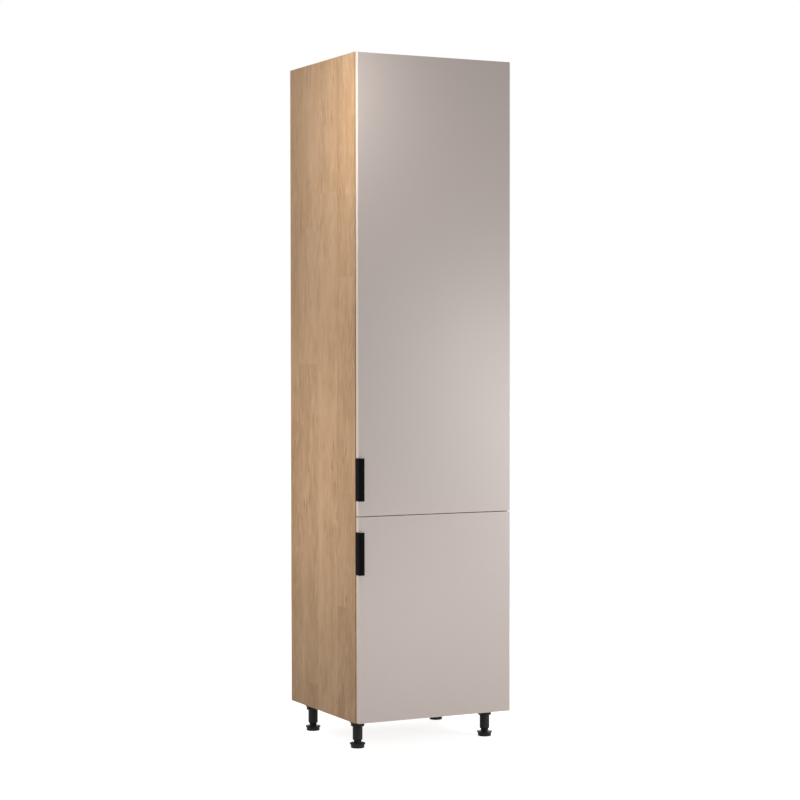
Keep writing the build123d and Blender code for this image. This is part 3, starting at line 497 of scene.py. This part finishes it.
class Wiring:
    """Adds nodes to one node tree. A value given to an input is either a socket to link or a constant."""

    def __init__(self, tree):
        self.tree = tree

    def feed(self, socket, value):
        """Link a socket to an input, or set the input's own value."""
        if isinstance(value, bpy.types.NodeSocket):
            self.tree.links.new(value, socket)
        else:
            socket.default_value = value

    def node(self, kind, settings=None, **inputs):
        """New node with its settings and its inputs by name, spaces written as underscores."""
        made = self.tree.nodes.new(kind)
        for key, value in (settings or {}).items():
            setattr(made, key, value)
        for key, value in inputs.items():
            self.feed(made.inputs[key.replace("_", " ")], value)
        return made

    def where(self):
        """Object coordinates."""
        return self.node("ShaderNodeTexCoord").outputs["Object"]

    def axes(self, vector):
        """X, Y and Z of a vector."""
        return self.node("ShaderNodeSeparateXYZ", Vector=vector).outputs

    def math(self, operation, *values, kind="ShaderNodeMath"):
        """Result of a Math node, or of a Vector Math node."""
        made = self.node(kind, {"operation": operation})
        for socket, value in zip(made.inputs, values):
            self.feed(socket, value)
        return made.outputs[0]

    def noise(self, vector, scale, detail=2.0, roughness=0.5):
        """Noise of a vector that is scaled axis by axis first, from 0 to 1."""
        place = self.math("MULTIPLY", vector, scale, kind="ShaderNodeVectorMath")
        made = self.node("ShaderNodeTexNoise", Vector=place, Scale=1.0, Detail=detail, Roughness=roughness)
        return made.outputs[0]

    def between(self, value, low, high, start=0.0, end=1.0):
        """Value taken from low..high to start..end with soft ends, and held there outside."""
        made = self.node(
            "ShaderNodeMapRange", {"interpolation_type": "SMOOTHSTEP"},
            Value=value, From_Min=low, From_Max=high, To_Min=start, To_Max=end,
        )
        return made.outputs[0]

    def mix(self, factor, one, two, blend="MIX"):
        """Mix of two colours."""
        made = self.node("ShaderNodeMix", {"data_type": "RGBA", "blend_type": blend})
        self.feed(made.inputs[0], factor)
        self.feed(made.inputs[6], one)
        self.feed(made.inputs[7], two)
        return made.outputs[2]

    def total(self, *terms):
        """Sum of (value, weight) terms."""
        result = 0.0
        for value, weight in terms:
            result = self.math("MULTIPLY_ADD", value, weight, result)
        return result


def shader_group(build, inputs, outputs):
    """Shader node group named for the function that builds it, made once.

    Inputs and outputs give the kind of each socket: f a number, v a vector, c a colour.
    """
    name = build.__name__
    group = bpy.data.node_groups.get(name)
    if group:
        return group
    group = bpy.data.node_groups.new(name, "ShaderNodeTree")
    kinds = {"f": "NodeSocketFloat", "v": "NodeSocketVector", "c": "NodeSocketColor"}
    for way, sockets in (("INPUT", inputs), ("OUTPUT", outputs)):
        for label, kind in sockets.items():
            group.interface.new_socket(label, in_out=way, socket_type=kinds[kind])
    wiring = Wiring(group)
    source = wiring.node("NodeGroupInput")
    results = build(wiring, *(source.outputs[label] for label in inputs))
    sink = wiring.node("NodeGroupOutput")
    for label, socket in zip(outputs, results):
        group.links.new(socket, sink.inputs[label])
    return group


def oak_decor(wiring, where, light, dark, stave_width, stave_length):
    """Oak with its grain along Z.

    Staves have their own tone and growth bands. Fibres and dark streaks come and go, with pale
    flecks and pores between them. Fine strands comb the streaks and flecks.
    """
    lean, stave_shift, tone_shift, sway_reach, joint_wide = 0.73, 17.3, 3.7, 0.05, 0.006
    x, y, along = wiring.axes(where)
    sway = wiring.noise(where, (5, 5, 2.4))
    across = wiring.math("MULTIPLY_ADD", x, lean, y)
    stave_place = wiring.math("DIVIDE", across, stave_width)
    stave = wiring.math("FLOOR", stave_place)
    shift = wiring.node("ShaderNodeTexWhiteNoise", {"noise_dimensions": "1D"}, W=stave).outputs[0]
    run = wiring.math("MULTIPLY_ADD", shift, stave_shift, wiring.math("DIVIDE", along, stave_length))
    pair = wiring.node("ShaderNodeCombineXYZ", X=stave, Y=wiring.math("FLOOR", run)).outputs[0]
    tone = wiring.node("ShaderNodeTexWhiteNoise", {"noise_dimensions": "2D"}, Vector=pair).outputs[0]
    bent = wiring.math("MULTIPLY_ADD", sway, sway_reach, across)
    moved = wiring.math("MULTIPLY_ADD", tone, tone_shift, along)
    place = wiring.node("ShaderNodeCombineXYZ", X=bent, Y=moved, Z=tone).outputs[0]
    bands = wiring.noise(place, (22, 4.2, 3), detail=3.0, roughness=0.55)
    drift = wiring.noise(where, (7, 7, 2.6), detail=1.0)
    lively = wiring.between(wiring.noise(place, (16, 3.4, 3)), 0.38, 0.62, 0.1, 1.5)
    fibres = wiring.noise(place, (180, 10.5, 3), detail=2.4, roughness=0.52)
    fibres = wiring.math("MULTIPLY_ADD", wiring.math("SUBTRACT", fibres, 0.5), lively, 0.5)
    strands = wiring.noise(place, (700, 14, 3), roughness=0.6)
    combed = wiring.between(strands, 0.38, 0.62, 0.1, 1.9)
    streaks = wiring.between(wiring.noise(place, (88, 14, 3)), 0.54, 0.72)
    streaks = wiring.math("MULTIPLY", wiring.math("MULTIPLY", streaks, lively), combed)
    flecks = wiring.between(wiring.noise(place, (95, 15, 5), detail=1.5), 0.53, 0.72)
    flecks = wiring.math("MULTIPLY", flecks, combed)
    pores = wiring.between(wiring.noise(place, (1300, 55, 3), detail=1.0), 0.60, 0.70)
    joint = wiring.between(wiring.math("PINGPONG", stave_place, 0.5), 0.0, joint_wide, 1.0, 0.0)
    depth = wiring.total((tone, 0.15), (bands, 0.38), (drift, 0.16), (fibres, 0.36), (strands, 0.22))
    wood = wiring.mix(wiring.between(depth, 0.41, 0.86), light, dark)
    wood = wiring.mix(wiring.math("MULTIPLY", flecks, 0.7), wood, light)
    shade = wiring.total((streaks, 0.26), (pores, 0.11), (joint, 0.12))
    wood = wiring.mix(shade, wood, STREAK_TINT, "MULTIPLY")
    rough = wiring.total((fibres, 0.10), (pores, 0.12), (drift, 0.06), (1.0, 0.36))
    height = wiring.total((fibres, 0.25), (pores, -0.6), (joint, -0.5))
    return wood, rough, height


def raw_chip(wiring, where, light, dark):
    """Raw chipboard: pressed flakes of mixed size and tone."""
    big = wiring.node("ShaderNodeTexVoronoi", Vector=where, Scale=420.0)
    small = wiring.node("ShaderNodeTexVoronoi", Vector=where, Scale=1100.0)
    tone = wiring.node("ShaderNodeSeparateColor", Color=big.outputs[1]).outputs[0]
    speck = wiring.node("ShaderNodeSeparateColor", Color=small.outputs[1]).outputs[1]
    gap = wiring.between(big.outputs[0], 0.35, 0.75)
    mask = wiring.total((tone, 0.6), (speck, 0.4), (gap, 0.35))
    return wiring.mix(mask, light, dark), wiring.math("MULTIPLY", mask, -1.0)


def satin_film(wiring, where, base, roughness):
    """Sprayed satin: faint orange peel, and broad and fine changes of sheen."""
    peel = wiring.noise(where, (330, 330, 330))
    broad = wiring.noise(where, (2.1, 2.1, 1.3))
    fine = wiring.noise(where, (60, 60, 60), detail=3.0)
    rough = wiring.total((broad, 0.05), (fine, 0.04), (roughness, 1.0))
    tone = wiring.total((broad, 0.6), (fine, 0.4))
    return wiring.mix(tone, base, SHEEN_TINT, "MULTIPLY"), rough, peel


def fine_grain(wiring, where, base, roughness, grain):
    """Fine pitted grain of a coating or a moulding, with blotches of sheen."""
    place = wiring.math("DIVIDE", where, grain, kind="ShaderNodeVectorMath")
    pits = wiring.noise(place, (1, 1, 1), detail=3.0, roughness=0.6)
    blotch = wiring.noise(where, (45, 45, 45), detail=3.0)
    rough = wiring.total((pits, 0.14), (blotch, 0.12), (roughness, 1.0))
    tone = wiring.total((pits, 0.5), (blotch, 0.5))
    return wiring.mix(tone, base, PIT_TINT, "MULTIPLY"), rough, pits


def plated_skin(wiring, where, base, roughness):
    """Bare or plated metal: drawing lines along one axis, clouds in the plating and fine pits."""
    lines = wiring.noise(where, (2400, 2400, 60))
    clouds = wiring.noise(where, (90, 90, 90), detail=3.0)
    pits = wiring.between(wiring.noise(where, (900, 900, 900), detail=1.0), 0.62, 0.75)
    rough = wiring.total((lines, 0.12), (clouds, 0.12), (pits, 0.1), (roughness, 1.0))
    tone = wiring.total((clouds, 0.7), (pits, 0.5))
    height = wiring.total((lines, 0.5), (pits, -0.5))
    return wiring.mix(tone, base, CLOUD_TINT, "MULTIPLY"), rough, height


CHIP_IN = {"Vector": "v", "Light": "c", "Dark": "c"}
CHIP_OUT = {"Color": "c", "Height": "f"}
OAK_IN = {**CHIP_IN, "Stave Width": "f", "Stave Length": "f"}
SKIN_IN = {"Vector": "v", "Color": "c", "Roughness": "f"}
SKIN_OUT = {"Color": "c", "Roughness": "f", "Height": "f"}


def paint(base, share=1):
    """Opaque colour with each channel times the share, and at most 1."""
    return (*(min(1, share * channel) for channel in base), 1)


def new_material(name, **plain):
    """Material with a Principled shader; plain values are set on the shader's own sockets."""
    material = bpy.data.materials.new(name)
    material.use_nodes = True
    shader = material.node_tree.nodes["Principled BSDF"]
    for key, value in plain.items():
        shader.inputs[key.replace("_", " ")].default_value = value
    return material, Wiring(material.node_tree), shader


def finish_shader(wiring, shader, shade, rough, height, bump):
    """Feed the shader's colour and roughness, and its normal through a bump of the height."""
    wiring.feed(shader.inputs["Base Color"], shade)
    wiring.feed(shader.inputs["Roughness"], rough)
    lift = wiring.node("ShaderNodeBump", Strength=bump, Distance=BUMP_DEPTH, Height=height)
    wiring.feed(shader.inputs["Normal"], lift.outputs[0])


def oak_material(name, sizes, colours, raw_limits=(), turn=0.0):
    """Oak decor with its grain along Z, or turned about Y by an angle.

    Beyond any of the raw limits, each an axis, a test and a place, raw chipboard shows.
    """
    material, wiring, shader = new_material(name, Specular_IOR_Level=0.09)
    where = wiring.where()
    mapped = wiring.node("ShaderNodeMapping", Vector=where, Rotation=(0, turn, 0)).outputs[0]
    oak = wiring.node(
        "ShaderNodeGroup", {"node_tree": shader_group(oak_decor, OAK_IN, SKIN_OUT)}, Vector=mapped,
        Light=paint(colours.oak_light), Dark=paint(colours.oak_dark),
        Stave_Width=sizes.stave_width, Stave_Length=sizes.stave_length,
    )
    shade, rough, height = oak.outputs
    if raw_limits:
        axes = wiring.axes(where)
        raw = 0.0
        for axis, test, limit in raw_limits:
            raw = wiring.math("MAXIMUM", wiring.math(test, axes[axis], limit), raw)
        chip = wiring.node(
            "ShaderNodeGroup", {"node_tree": shader_group(raw_chip, CHIP_IN, CHIP_OUT)}, Vector=where,
            Light=paint(colours.chip_light), Dark=paint(colours.chip_dark),
        )
        shade = wiring.mix(raw, shade, chip.outputs[0])
        rough = wiring.math("MULTIPLY_ADD", raw, 0.4, rough)
        height = wiring.math("MULTIPLY_ADD", wiring.math("MULTIPLY", raw, chip.outputs[1]), 2.0, height)
    finish_shader(wiring, shader, shade, rough, height, bump=0.35)
    return material


def skin_node(wiring, where, skin, base, roughness, extra):
    """Node of a skin group, fed with the place, a base colour, a roughness and extra values."""
    tree = shader_group(skin, {**SKIN_IN, **dict.fromkeys(extra, "f")}, SKIN_OUT)
    return wiring.node(
        "ShaderNodeGroup", {"node_tree": tree}, Vector=where, Color=paint(base), Roughness=roughness, **extra
    )


def skin_material(name, skin, base, roughness, bump, extra=None, **plain):
    """Material whose colour, sheen and bump come from one of the skin groups."""
    material, wiring, shader = new_material(name, **plain)
    made = skin_node(wiring, wiring.where(), skin, base, roughness, extra or {})
    finish_shader(wiring, shader, *made.outputs, bump)
    return material


def coat_material(colours):
    """Matt black coating with fine grain, rubbed a little paler where the wear attribute is high."""
    material, wiring, shader = new_material("black_coat", Specular_IOR_Level=0.02)
    where = wiring.where()
    made = skin_node(wiring, where, fine_grain, colours.coat, 0.46, {"Grain": 0.6 * MM})
    shade, rough, pits = made.outputs
    wear = wiring.node("ShaderNodeAttribute", {"attribute_name": "wear"}).outputs["Fac"]
    patches = wiring.between(wiring.noise(where, (220, 220, 60), detail=3.0), 0.45, 0.7, 0.1, 0.6)
    shade = wiring.mix(wiring.math("MULTIPLY", wear, patches), shade, paint(colours.coat_worn))
    finish_shader(wiring, shader, shade, rough, pits, bump=0.25)
    return material


def back_material(colours):
    """Hardboard back: white film inside, brown pressed fibre behind, told apart by depth."""
    material, wiring, shader = new_material("hardboard_back", Specular_IOR_Level=0.3)
    where = wiring.where()
    low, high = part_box("back_panel")
    rear = wiring.math("GREATER_THAN", wiring.axes(where)[1], (low.y + high.y) / 2)
    felt = wiring.noise(where, (260, 260, 260), detail=4.0, roughness=0.65)
    cloud = wiring.noise(where, (6, 6, 4), detail=3.0)
    hair = wiring.between(wiring.noise(where, (900, 900, 240)), 0.58, 0.72)
    fibre = wiring.total((felt, 0.5), (cloud, 0.5), (hair, 0.25))
    brown = wiring.mix(fibre, paint(colours.back_outside, 1.25), paint(colours.back_outside, 0.72))
    white = wiring.mix(cloud, paint(colours.back_inside), paint(colours.back_inside, 0.94))
    shade = wiring.mix(rear, white, brown)
    rough = wiring.total((rear, 0.25), (felt, 0.15), (1.0, 0.38))
    finish_shader(wiring, shader, shade, rough, felt, bump=0.3)
    return material


def all_finishes(sizes, colours):
    """All finishes by name."""
    side_low, side_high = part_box("left_side_panel")
    margin = 0.2 * MM
    rear = (1, "GREATER_THAN", side_high.y - margin)
    ends = [(2, "GREATER_THAN", side_high.z - margin), (2, "LESS_THAN", side_low.z + margin)]
    return dict(
        oak_upright=oak_material("oak_upright", sizes, colours, [rear, *ends]),
        oak_level=oak_material("oak_level", sizes, colours, [rear], QUARTER_TURN),
        oak_band=oak_material("oak_band", sizes, colours),
        back=back_material(colours),
        door=skin_material("door_satin", satin_film, colours.door, 0.30, bump=0.05),
        # The bands' paler colour is a painted highlight on the doors' edges
        door_edge=skin_material("door_edge_satin", satin_film, colours.door_edge, 0.36, bump=0.03),
        coat=coat_material(colours),
        plastic=skin_material("black_moulding", fine_grain, colours.plastic, 0.38, bump=0.2,
                              extra={"Grain": 0.9 * MM}, Specular_IOR_Level=0.2),
        nickel=skin_material("nickel_plate", plated_skin, colours.nickel, 0.14, bump=0.06, Metallic=1.0),
        zinc=skin_material("zinc_casting", plated_skin, colours.zinc, 0.30, bump=0.25, Metallic=1.0),
        beech=skin_material("beech_dowel", fine_grain, colours.beech, 0.5, bump=0.3, extra={"Grain": 2 * MM}),
        bumper=skin_material("clear_bumper", fine_grain, colours.bumper, 0.08, bump=0.05,
                             extra={"Grain": 4 * MM}, IOR=1.45, Transmission_Weight=0.85),
    )


FINISHES = {}


def finish(name):
    """Finish of that name. The first call makes them all."""
    if not FINISHES:
        scene = bpy.context.scene
        FINISHES.update(all_finishes(scene.cabinet_sizes, scene.cabinet_colours))
    return FINISHES[name]


def dress(name, *nodes):
    """Put the finish of that name on CAD nodes that keep their own shape."""
    for node in nodes:
        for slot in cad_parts[node].material_slots:
            slot.material = finish(name)


def settle(piece, body, slot, *nodes):
    """Let a new piece stand for CAD nodes and ride their body; the slot is not used."""
    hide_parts(*nodes)
    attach(piece, body)


def screw_set(name, screw, places, direction=(0, 0, 1), body="carcass"):
    """Plated screws at the places, which stand for the CAD node of that name."""
    piece = surface(f"{name}_set", placed(screw, places, direction), finish("nickel"))
    settle(piece, body, "plated_steel", f"{name}s")


# Operators


class CABINET_OT_oak_boards(bpy.types.Operator):
    """Oak decor on the carcass boards, shelves and their bands, and the back's two faces"""

    bl_idname = "cabinet.oak_boards"
    bl_label = "Oak boards"

    def execute(self, context):
        dress("oak_upright", *UPRIGHT_BOARDS)
        dress("oak_level", *LEVEL_BOARDS)
        dress("oak_band", "carcass_edge_bands")
        dress("back", "back_panel")
        return {"FINISHED"}


class CABINET_OT_doors(bpy.types.Operator):
    """Satin lacquer on both doors and their bands, whose paler colour is a painted highlight"""

    bl_idname = "cabinet.doors"
    bl_label = "Doors"

    def execute(self, context):
        dress("door", *(f"{door}_door" for door in DOORS))
        # Bands in their paler colour, a painted highlight
        dress("door_edge", *(f"{door}_door_edge_bands" for door in DOORS))
        return {"FINISHED"}


class CABINET_OT_pulls(bpy.types.Operator):
    """Bent black pulls on the doors' left edges, with their screws behind"""

    bl_idname = "cabinet.pulls"
    bl_label = "Pulls"

    def execute(self, context):
        screw = flat_screw(*PULL_SCREW)
        for door in DOORS:
            grid, wear = pull_grid(door, context.scene.cabinet_sizes)
            pull = surface(f"{door}_edge_pull", [grid], finish("coat"), wear)
            settle(pull, f"{door}_door", "black_metal", f"{door}_pull")
            low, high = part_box(f"{door}_pull")
            middle = (low.z + high.z) / 2
            places = [(low.x + PULL_SCREW_IN, high.y, middle + s * PULL_SCREW_OUT) for s in BOTH_WAYS]
            screw_set(f"{door}_pull_screw", screw, places, (0, -1, 0), f"{door}_door")
        return {"FINISHED"}


class CABINET_OT_leg_sockets(bpy.types.Operator):
    """Ribbed leg sockets under the bottom panel, and their screws"""

    bl_idname = "cabinet.leg_sockets"
    bl_label = "Leg sockets"

    def execute(self, context):
        sizes = context.scene.cabinet_sizes
        corners = [(x * LEG_SCREW_OUT, y * LEG_SCREW_OUT, 0) for x in BOTH_WAYS for y in BOTH_WAYS]
        places = []
        for leg in LEGS:
            socket = surface(f"{leg}_ribbed_socket", [socket_grid(leg, sizes)], finish("plastic"))
            settle(socket, "carcass", "black_plastic", f"{leg}_leg_socket")
            under = leg_place(leg) + (0, 0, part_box(f"{leg}_leg_tube")[1].z)
            places += [under + corner for corner in corners]
        screw_set("leg_screw", pan_screw(*LEG_SCREW), places)
        return {"FINISHED"}


class CABINET_OT_legs(bpy.types.Operator):
    """Leg tubes, and the threaded feet that screw into them"""

    bl_idname = "cabinet.legs"
    bl_label = "Legs and feet"

    def execute(self, context):
        sizes = context.scene.cabinet_sizes
        for leg in LEGS:
            tube = surface(f"{leg}_tube", [tube_grid(leg, sizes)], finish("plastic"))
            settle(tube, "carcass", "black_plastic", f"{leg}_leg_tube")
            foot = surface(f"{leg}_screw_foot", [foot_grid(leg, sizes)], finish("plastic"))
            settle(foot, f"{leg}_foot", "black_plastic", f"{leg}_foot")
        return {"FINISHED"}


class CABINET_OT_hinges(bpy.types.Operator):
    """Plated hinge cups, arms and pins, cast plates, and the screws that hold them"""

    bl_idname = "cabinet.hinges"
    bl_label = "Hinges"

    def execute(self, context):
        dress("zinc", "hinge_plates")
        cup_screw = flat_screw(*CUP_SCREW)
        plate_places, arm_places = [], []
        plate_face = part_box("right_side_panel")[0].x - PLATE_THICK
        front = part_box("carcass_edge_bands")[0].y
        for door, hinges in DOORS.items():
            parts = [f"{door}_hinge_{part}_{i + 1}" for part in ("cup", "arm") for i in range(hinges)]
            dress("nickel", f"{door}_hinge_pins", *parts)
            cup_places = []
            for i in range(hinges):
                low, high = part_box(f"{door}_hinge_cup_{i + 1}")
                level = (low.z + high.z) / 2
                arm_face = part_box(f"{door}_hinge_arm_{i + 1}")[0].x
                cup_places += [(low.x + CUP_SCREW_IN, high.y, level + s * CUP_SCREW_OUT) for s in BOTH_WAYS]
                plate_y = front + PLATE_SCREW_BACK
                plate_places += [(plate_face, plate_y, level + s * PLATE_SCREW_OUT) for s in BOTH_WAYS]
                arm_places += [(arm_face, front + back, level) for back in ARM_SCREWS_BACK]
            screw_set(f"{door}_cup_screw", cup_screw, cup_places, (0, -1, 0), f"{door}_door")
        screw_set("plate_screw", pan_screw(*PLATE_SCREW), plate_places, (1, 0, 0))
        screw_set("arm_screw", pan_screw(*ARM_SCREW), arm_places, (1, 0, 0))
        return {"FINISHED"}


class CABINET_OT_fittings(bpy.types.Operator):
    """Cams, bolts, dowels, shelf pins, wall angles and bumpers"""

    bl_idname = "cabinet.fittings"
    bl_label = "Fittings"

    def execute(self, context):
        dress("zinc", "cam_bolts", "wall_angles")
        dress("nickel", "shelf_pins")
        dress("beech", "wood_dowels")
        self.cams()
        self.angle_screws()
        self.bumpers()
        return {"FINISHED"}

    def cams(self):
        """Cast cams: a face with a cross and a rounded rim, sunk in the undersides and in the top."""
        low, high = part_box("cam_housings")
        face = CAM_RADIUS - 1.5 * MM
        corners = [(face, 0), (CAM_RADIUS, 0), (CAM_RADIUS, CAM_TALL), (0, CAM_TALL)]
        cam = cross_recessed((face, 0), rounded(corners, [0.5 * MM, 0.4 * MM]), CAM_CROSS)
        middles = [(x, y) for x in (low.x + CAM_RADIUS, high.x - CAM_RADIUS)
                   for y in (low.y + CAM_RADIUS, high.y - CAM_RADIUS)]
        levels = (low.z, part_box("middle_shelf")[0].z)
        grids = placed(cam, [(x, y, z) for x, y in middles for z in levels])
        grids += placed(cam, [(x, y, high.z) for x, y in middles], (0, 0, -1))
        settle(surface("cam_set", grids, finish("zinc")), "carcass", "zinc_casting", "cam_housings")

    def angle_screws(self):
        """Pan-head screws that hold the wall angles to the top panel."""
        low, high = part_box("wall_angles")
        middles = (low.x + ANGLE_WIDE / 2, high.x - ANGLE_WIDE / 2)
        y, z = high.y - ANGLE_WIDE / 2 - ANGLE_THICK, high.z - ANGLE_THICK
        places = [(x + s * ANGLE_SCREW_OUT, y, z) for x in middles for s in BOTH_WAYS]
        screw_set("wall_angle_screw", pan_screw(*ANGLE_SCREW), places)

    def bumpers(self):
        """Clear bumpers: a low dome whose height falls with the fourth power of the radius."""
        low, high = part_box("door_bumpers")
        radius, tall, fall, rows, columns = (high.x - low.x) / 2, high.y - low.y, 0.55, 14, 40
        share = np.linspace(0, 1, rows)
        dome = np.stack([radius * share, tall * (1 - fall * share**4)], -1)
        profile = np.concatenate([dome, [(radius, 0), (0, 0)]])
        levels = [edge.z + s * BUMPER_IN for door in DOORS
                  for s, edge in zip((1, -1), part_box(f"{door}_door_edge_bands"))]
        places = [(low.x + radius, high.y, z) for z in levels]
        grids = placed(turned(profile, columns), places, (0, -1, 0))
        settle(surface("bumper_set", grids, finish("bumper")), "carcass", "bumper", "door_bumpers")


class CABINET_OT_studio(bpy.types.Operator):
    """Camera at the picture's angle, soft lights, and a pale floor on white"""

    bl_idname = "cabinet.studio"
    bl_label = "Studio"

    def execute(self, context):
        scene, studio = context.scene, context.scene.cabinet_studio
        scene.view_settings.view_transform = "Standard"
        self.camera(scene, studio)
        self.lamps(scene, studio)
        self.world(scene, studio)
        self.floor(studio)
        return {"FINISHED"}

    def turned_to(self, thing, ahead, roll):
        """Turn a camera or lamp to look ahead, then about its own axis."""
        thing.rotation_mode = "QUATERNION"
        thing.rotation_quaternion = ahead.to_track_quat("-Z", "Y") @ Quaternion((0, 0, 1), roll)

    def camera(self, scene, studio):
        """Camera fitted to the picture."""
        data = bpy.data.cameras.new("picture_camera")
        data.sensor_width = 36
        data.lens = studio.lens
        camera = bpy.data.objects.new("picture_camera", data)
        level = math.cos(studio.pitch)
        ahead = Vector((math.sin(studio.yaw) * level, math.cos(studio.yaw) * level, -math.sin(studio.pitch)))
        camera.location = studio.camera
        self.turned_to(camera, ahead, -studio.roll)
        scene.collection.objects.link(camera)
        scene.camera = camera

    def lamps(self, scene, studio):
        """Softboxes at their places, each turned to its aim and rolled."""
        for name, (place, aim, size, roll) in SOFTBOXES.items():
            data = bpy.data.lights.new(f"{name}_softbox", "AREA")
            data.shape = "RECTANGLE"
            data.size, data.size_y = size
            data.energy = getattr(studio, name)
            lamp = bpy.data.objects.new(f"{name}_softbox", data)
            lamp.location = place
            self.turned_to(lamp, Vector(aim) - Vector(place), math.radians(roll))
            lamp.visible_camera = False
            lamp.visible_glossy = name not in UNMIRRORED
            scene.collection.objects.link(lamp)

    def seen(self, wiring):
        """1 for camera, glossy and transmission rays, else 0."""
        path = wiring.node("ShaderNodeLightPath").outputs
        direct = wiring.math("MAXIMUM", path["Is Camera Ray"], path["Is Glossy Ray"])
        return wiring.math("MAXIMUM", direct, path["Is Transmission Ray"])

    def world(self, scene, studio):
        """White world for what is seen, and a plain level of light on dull surfaces."""
        world = bpy.data.worlds.new("white_studio")
        world.use_nodes = True
        scene.world = world
        wiring = Wiring(world.node_tree)
        dull = world.node_tree.nodes["Background"]
        dull.inputs["Color"].default_value = WHITE
        dull.inputs["Strength"].default_value = studio.ambient
        white = wiring.node("ShaderNodeBackground", Color=WHITE, Strength=1.0)
        both = wiring.node("ShaderNodeMixShader")
        for socket, value in zip(both.inputs, (self.seen(wiring), dull.outputs[0], white.outputs[0])):
            wiring.feed(socket, value)
        wiring.feed(world.node_tree.nodes["World Output"].inputs["Surface"], both.outputs[0])

    def floor(self, studio):
        """Pale disc that keeps the shadow; its own white is added only where it is seen."""
        material, wiring, shader = new_material(
            "pale_floor", Base_Color=FLOOR_GREY, Roughness=0.9, Specular_IOR_Level=0.0, Emission_Color=WHITE
        )
        glow = wiring.math("MULTIPLY", self.seen(wiring), studio.floor_white)
        wiring.feed(shader.inputs["Emission Strength"], glow)
        floor = surface("floor", [turned(FLOOR_PROFILE, columns=96)], material)
        if floor.data.polygons[0].normal.z < 0:
            floor.data.flip_normals()


class CABINET_PT_panel(bpy.types.Panel):
    """Lists the cabinet's operators and settings"""

    bl_idname = "CABINET_PT_panel"
    bl_label = "Tall kitchen cabinet"
    bl_space_type = "VIEW_3D"
    bl_region_type = "UI"
    bl_category = "Cabinet"

    def draw(self, context):
        for operator in OPERATORS:
            self.layout.operator(operator.bl_idname)
        for name in SETTINGS:
            box = self.layout.box()
            group = getattr(context.scene, name)
            for key in group.__annotations__:
                box.prop(group, key)


OPERATORS = (
    CABINET_OT_oak_boards, CABINET_OT_doors, CABINET_OT_pulls, CABINET_OT_leg_sockets,
    CABINET_OT_legs, CABINET_OT_hinges, CABINET_OT_fittings, CABINET_OT_studio,
)
SETTINGS = {"cabinet_sizes": CabinetSizes, "cabinet_colours": CabinetColours, "cabinet_studio": CabinetStudio}
CLASSES = (*SETTINGS.values(), *OPERATORS, CABINET_PT_panel)


def register():
    """Register the settings, operators and panel."""
    for kind in CLASSES:
        bpy.utils.register_class(kind)
    for name, group in SETTINGS.items():
        setattr(bpy.types.Scene, name, bpy.props.PointerProperty(type=group))


def unregister():
    """Undo register."""
    for name in SETTINGS:
        delattr(bpy.types.Scene, name)
    for kind in reversed(CLASSES):
        bpy.utils.unregister_class(kind)


def main():
    """Register the add-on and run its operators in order."""
    register()
    bpy.ops.cabinet.oak_boards()
    bpy.ops.cabinet.doors()
    bpy.ops.cabinet.pulls()
    bpy.ops.cabinet.leg_sockets()
    bpy.ops.cabinet.legs()
    bpy.ops.cabinet.hinges()
    bpy.ops.cabinet.fittings()
    bpy.ops.cabinet.studio()


if __name__ == "__main__":
    main()
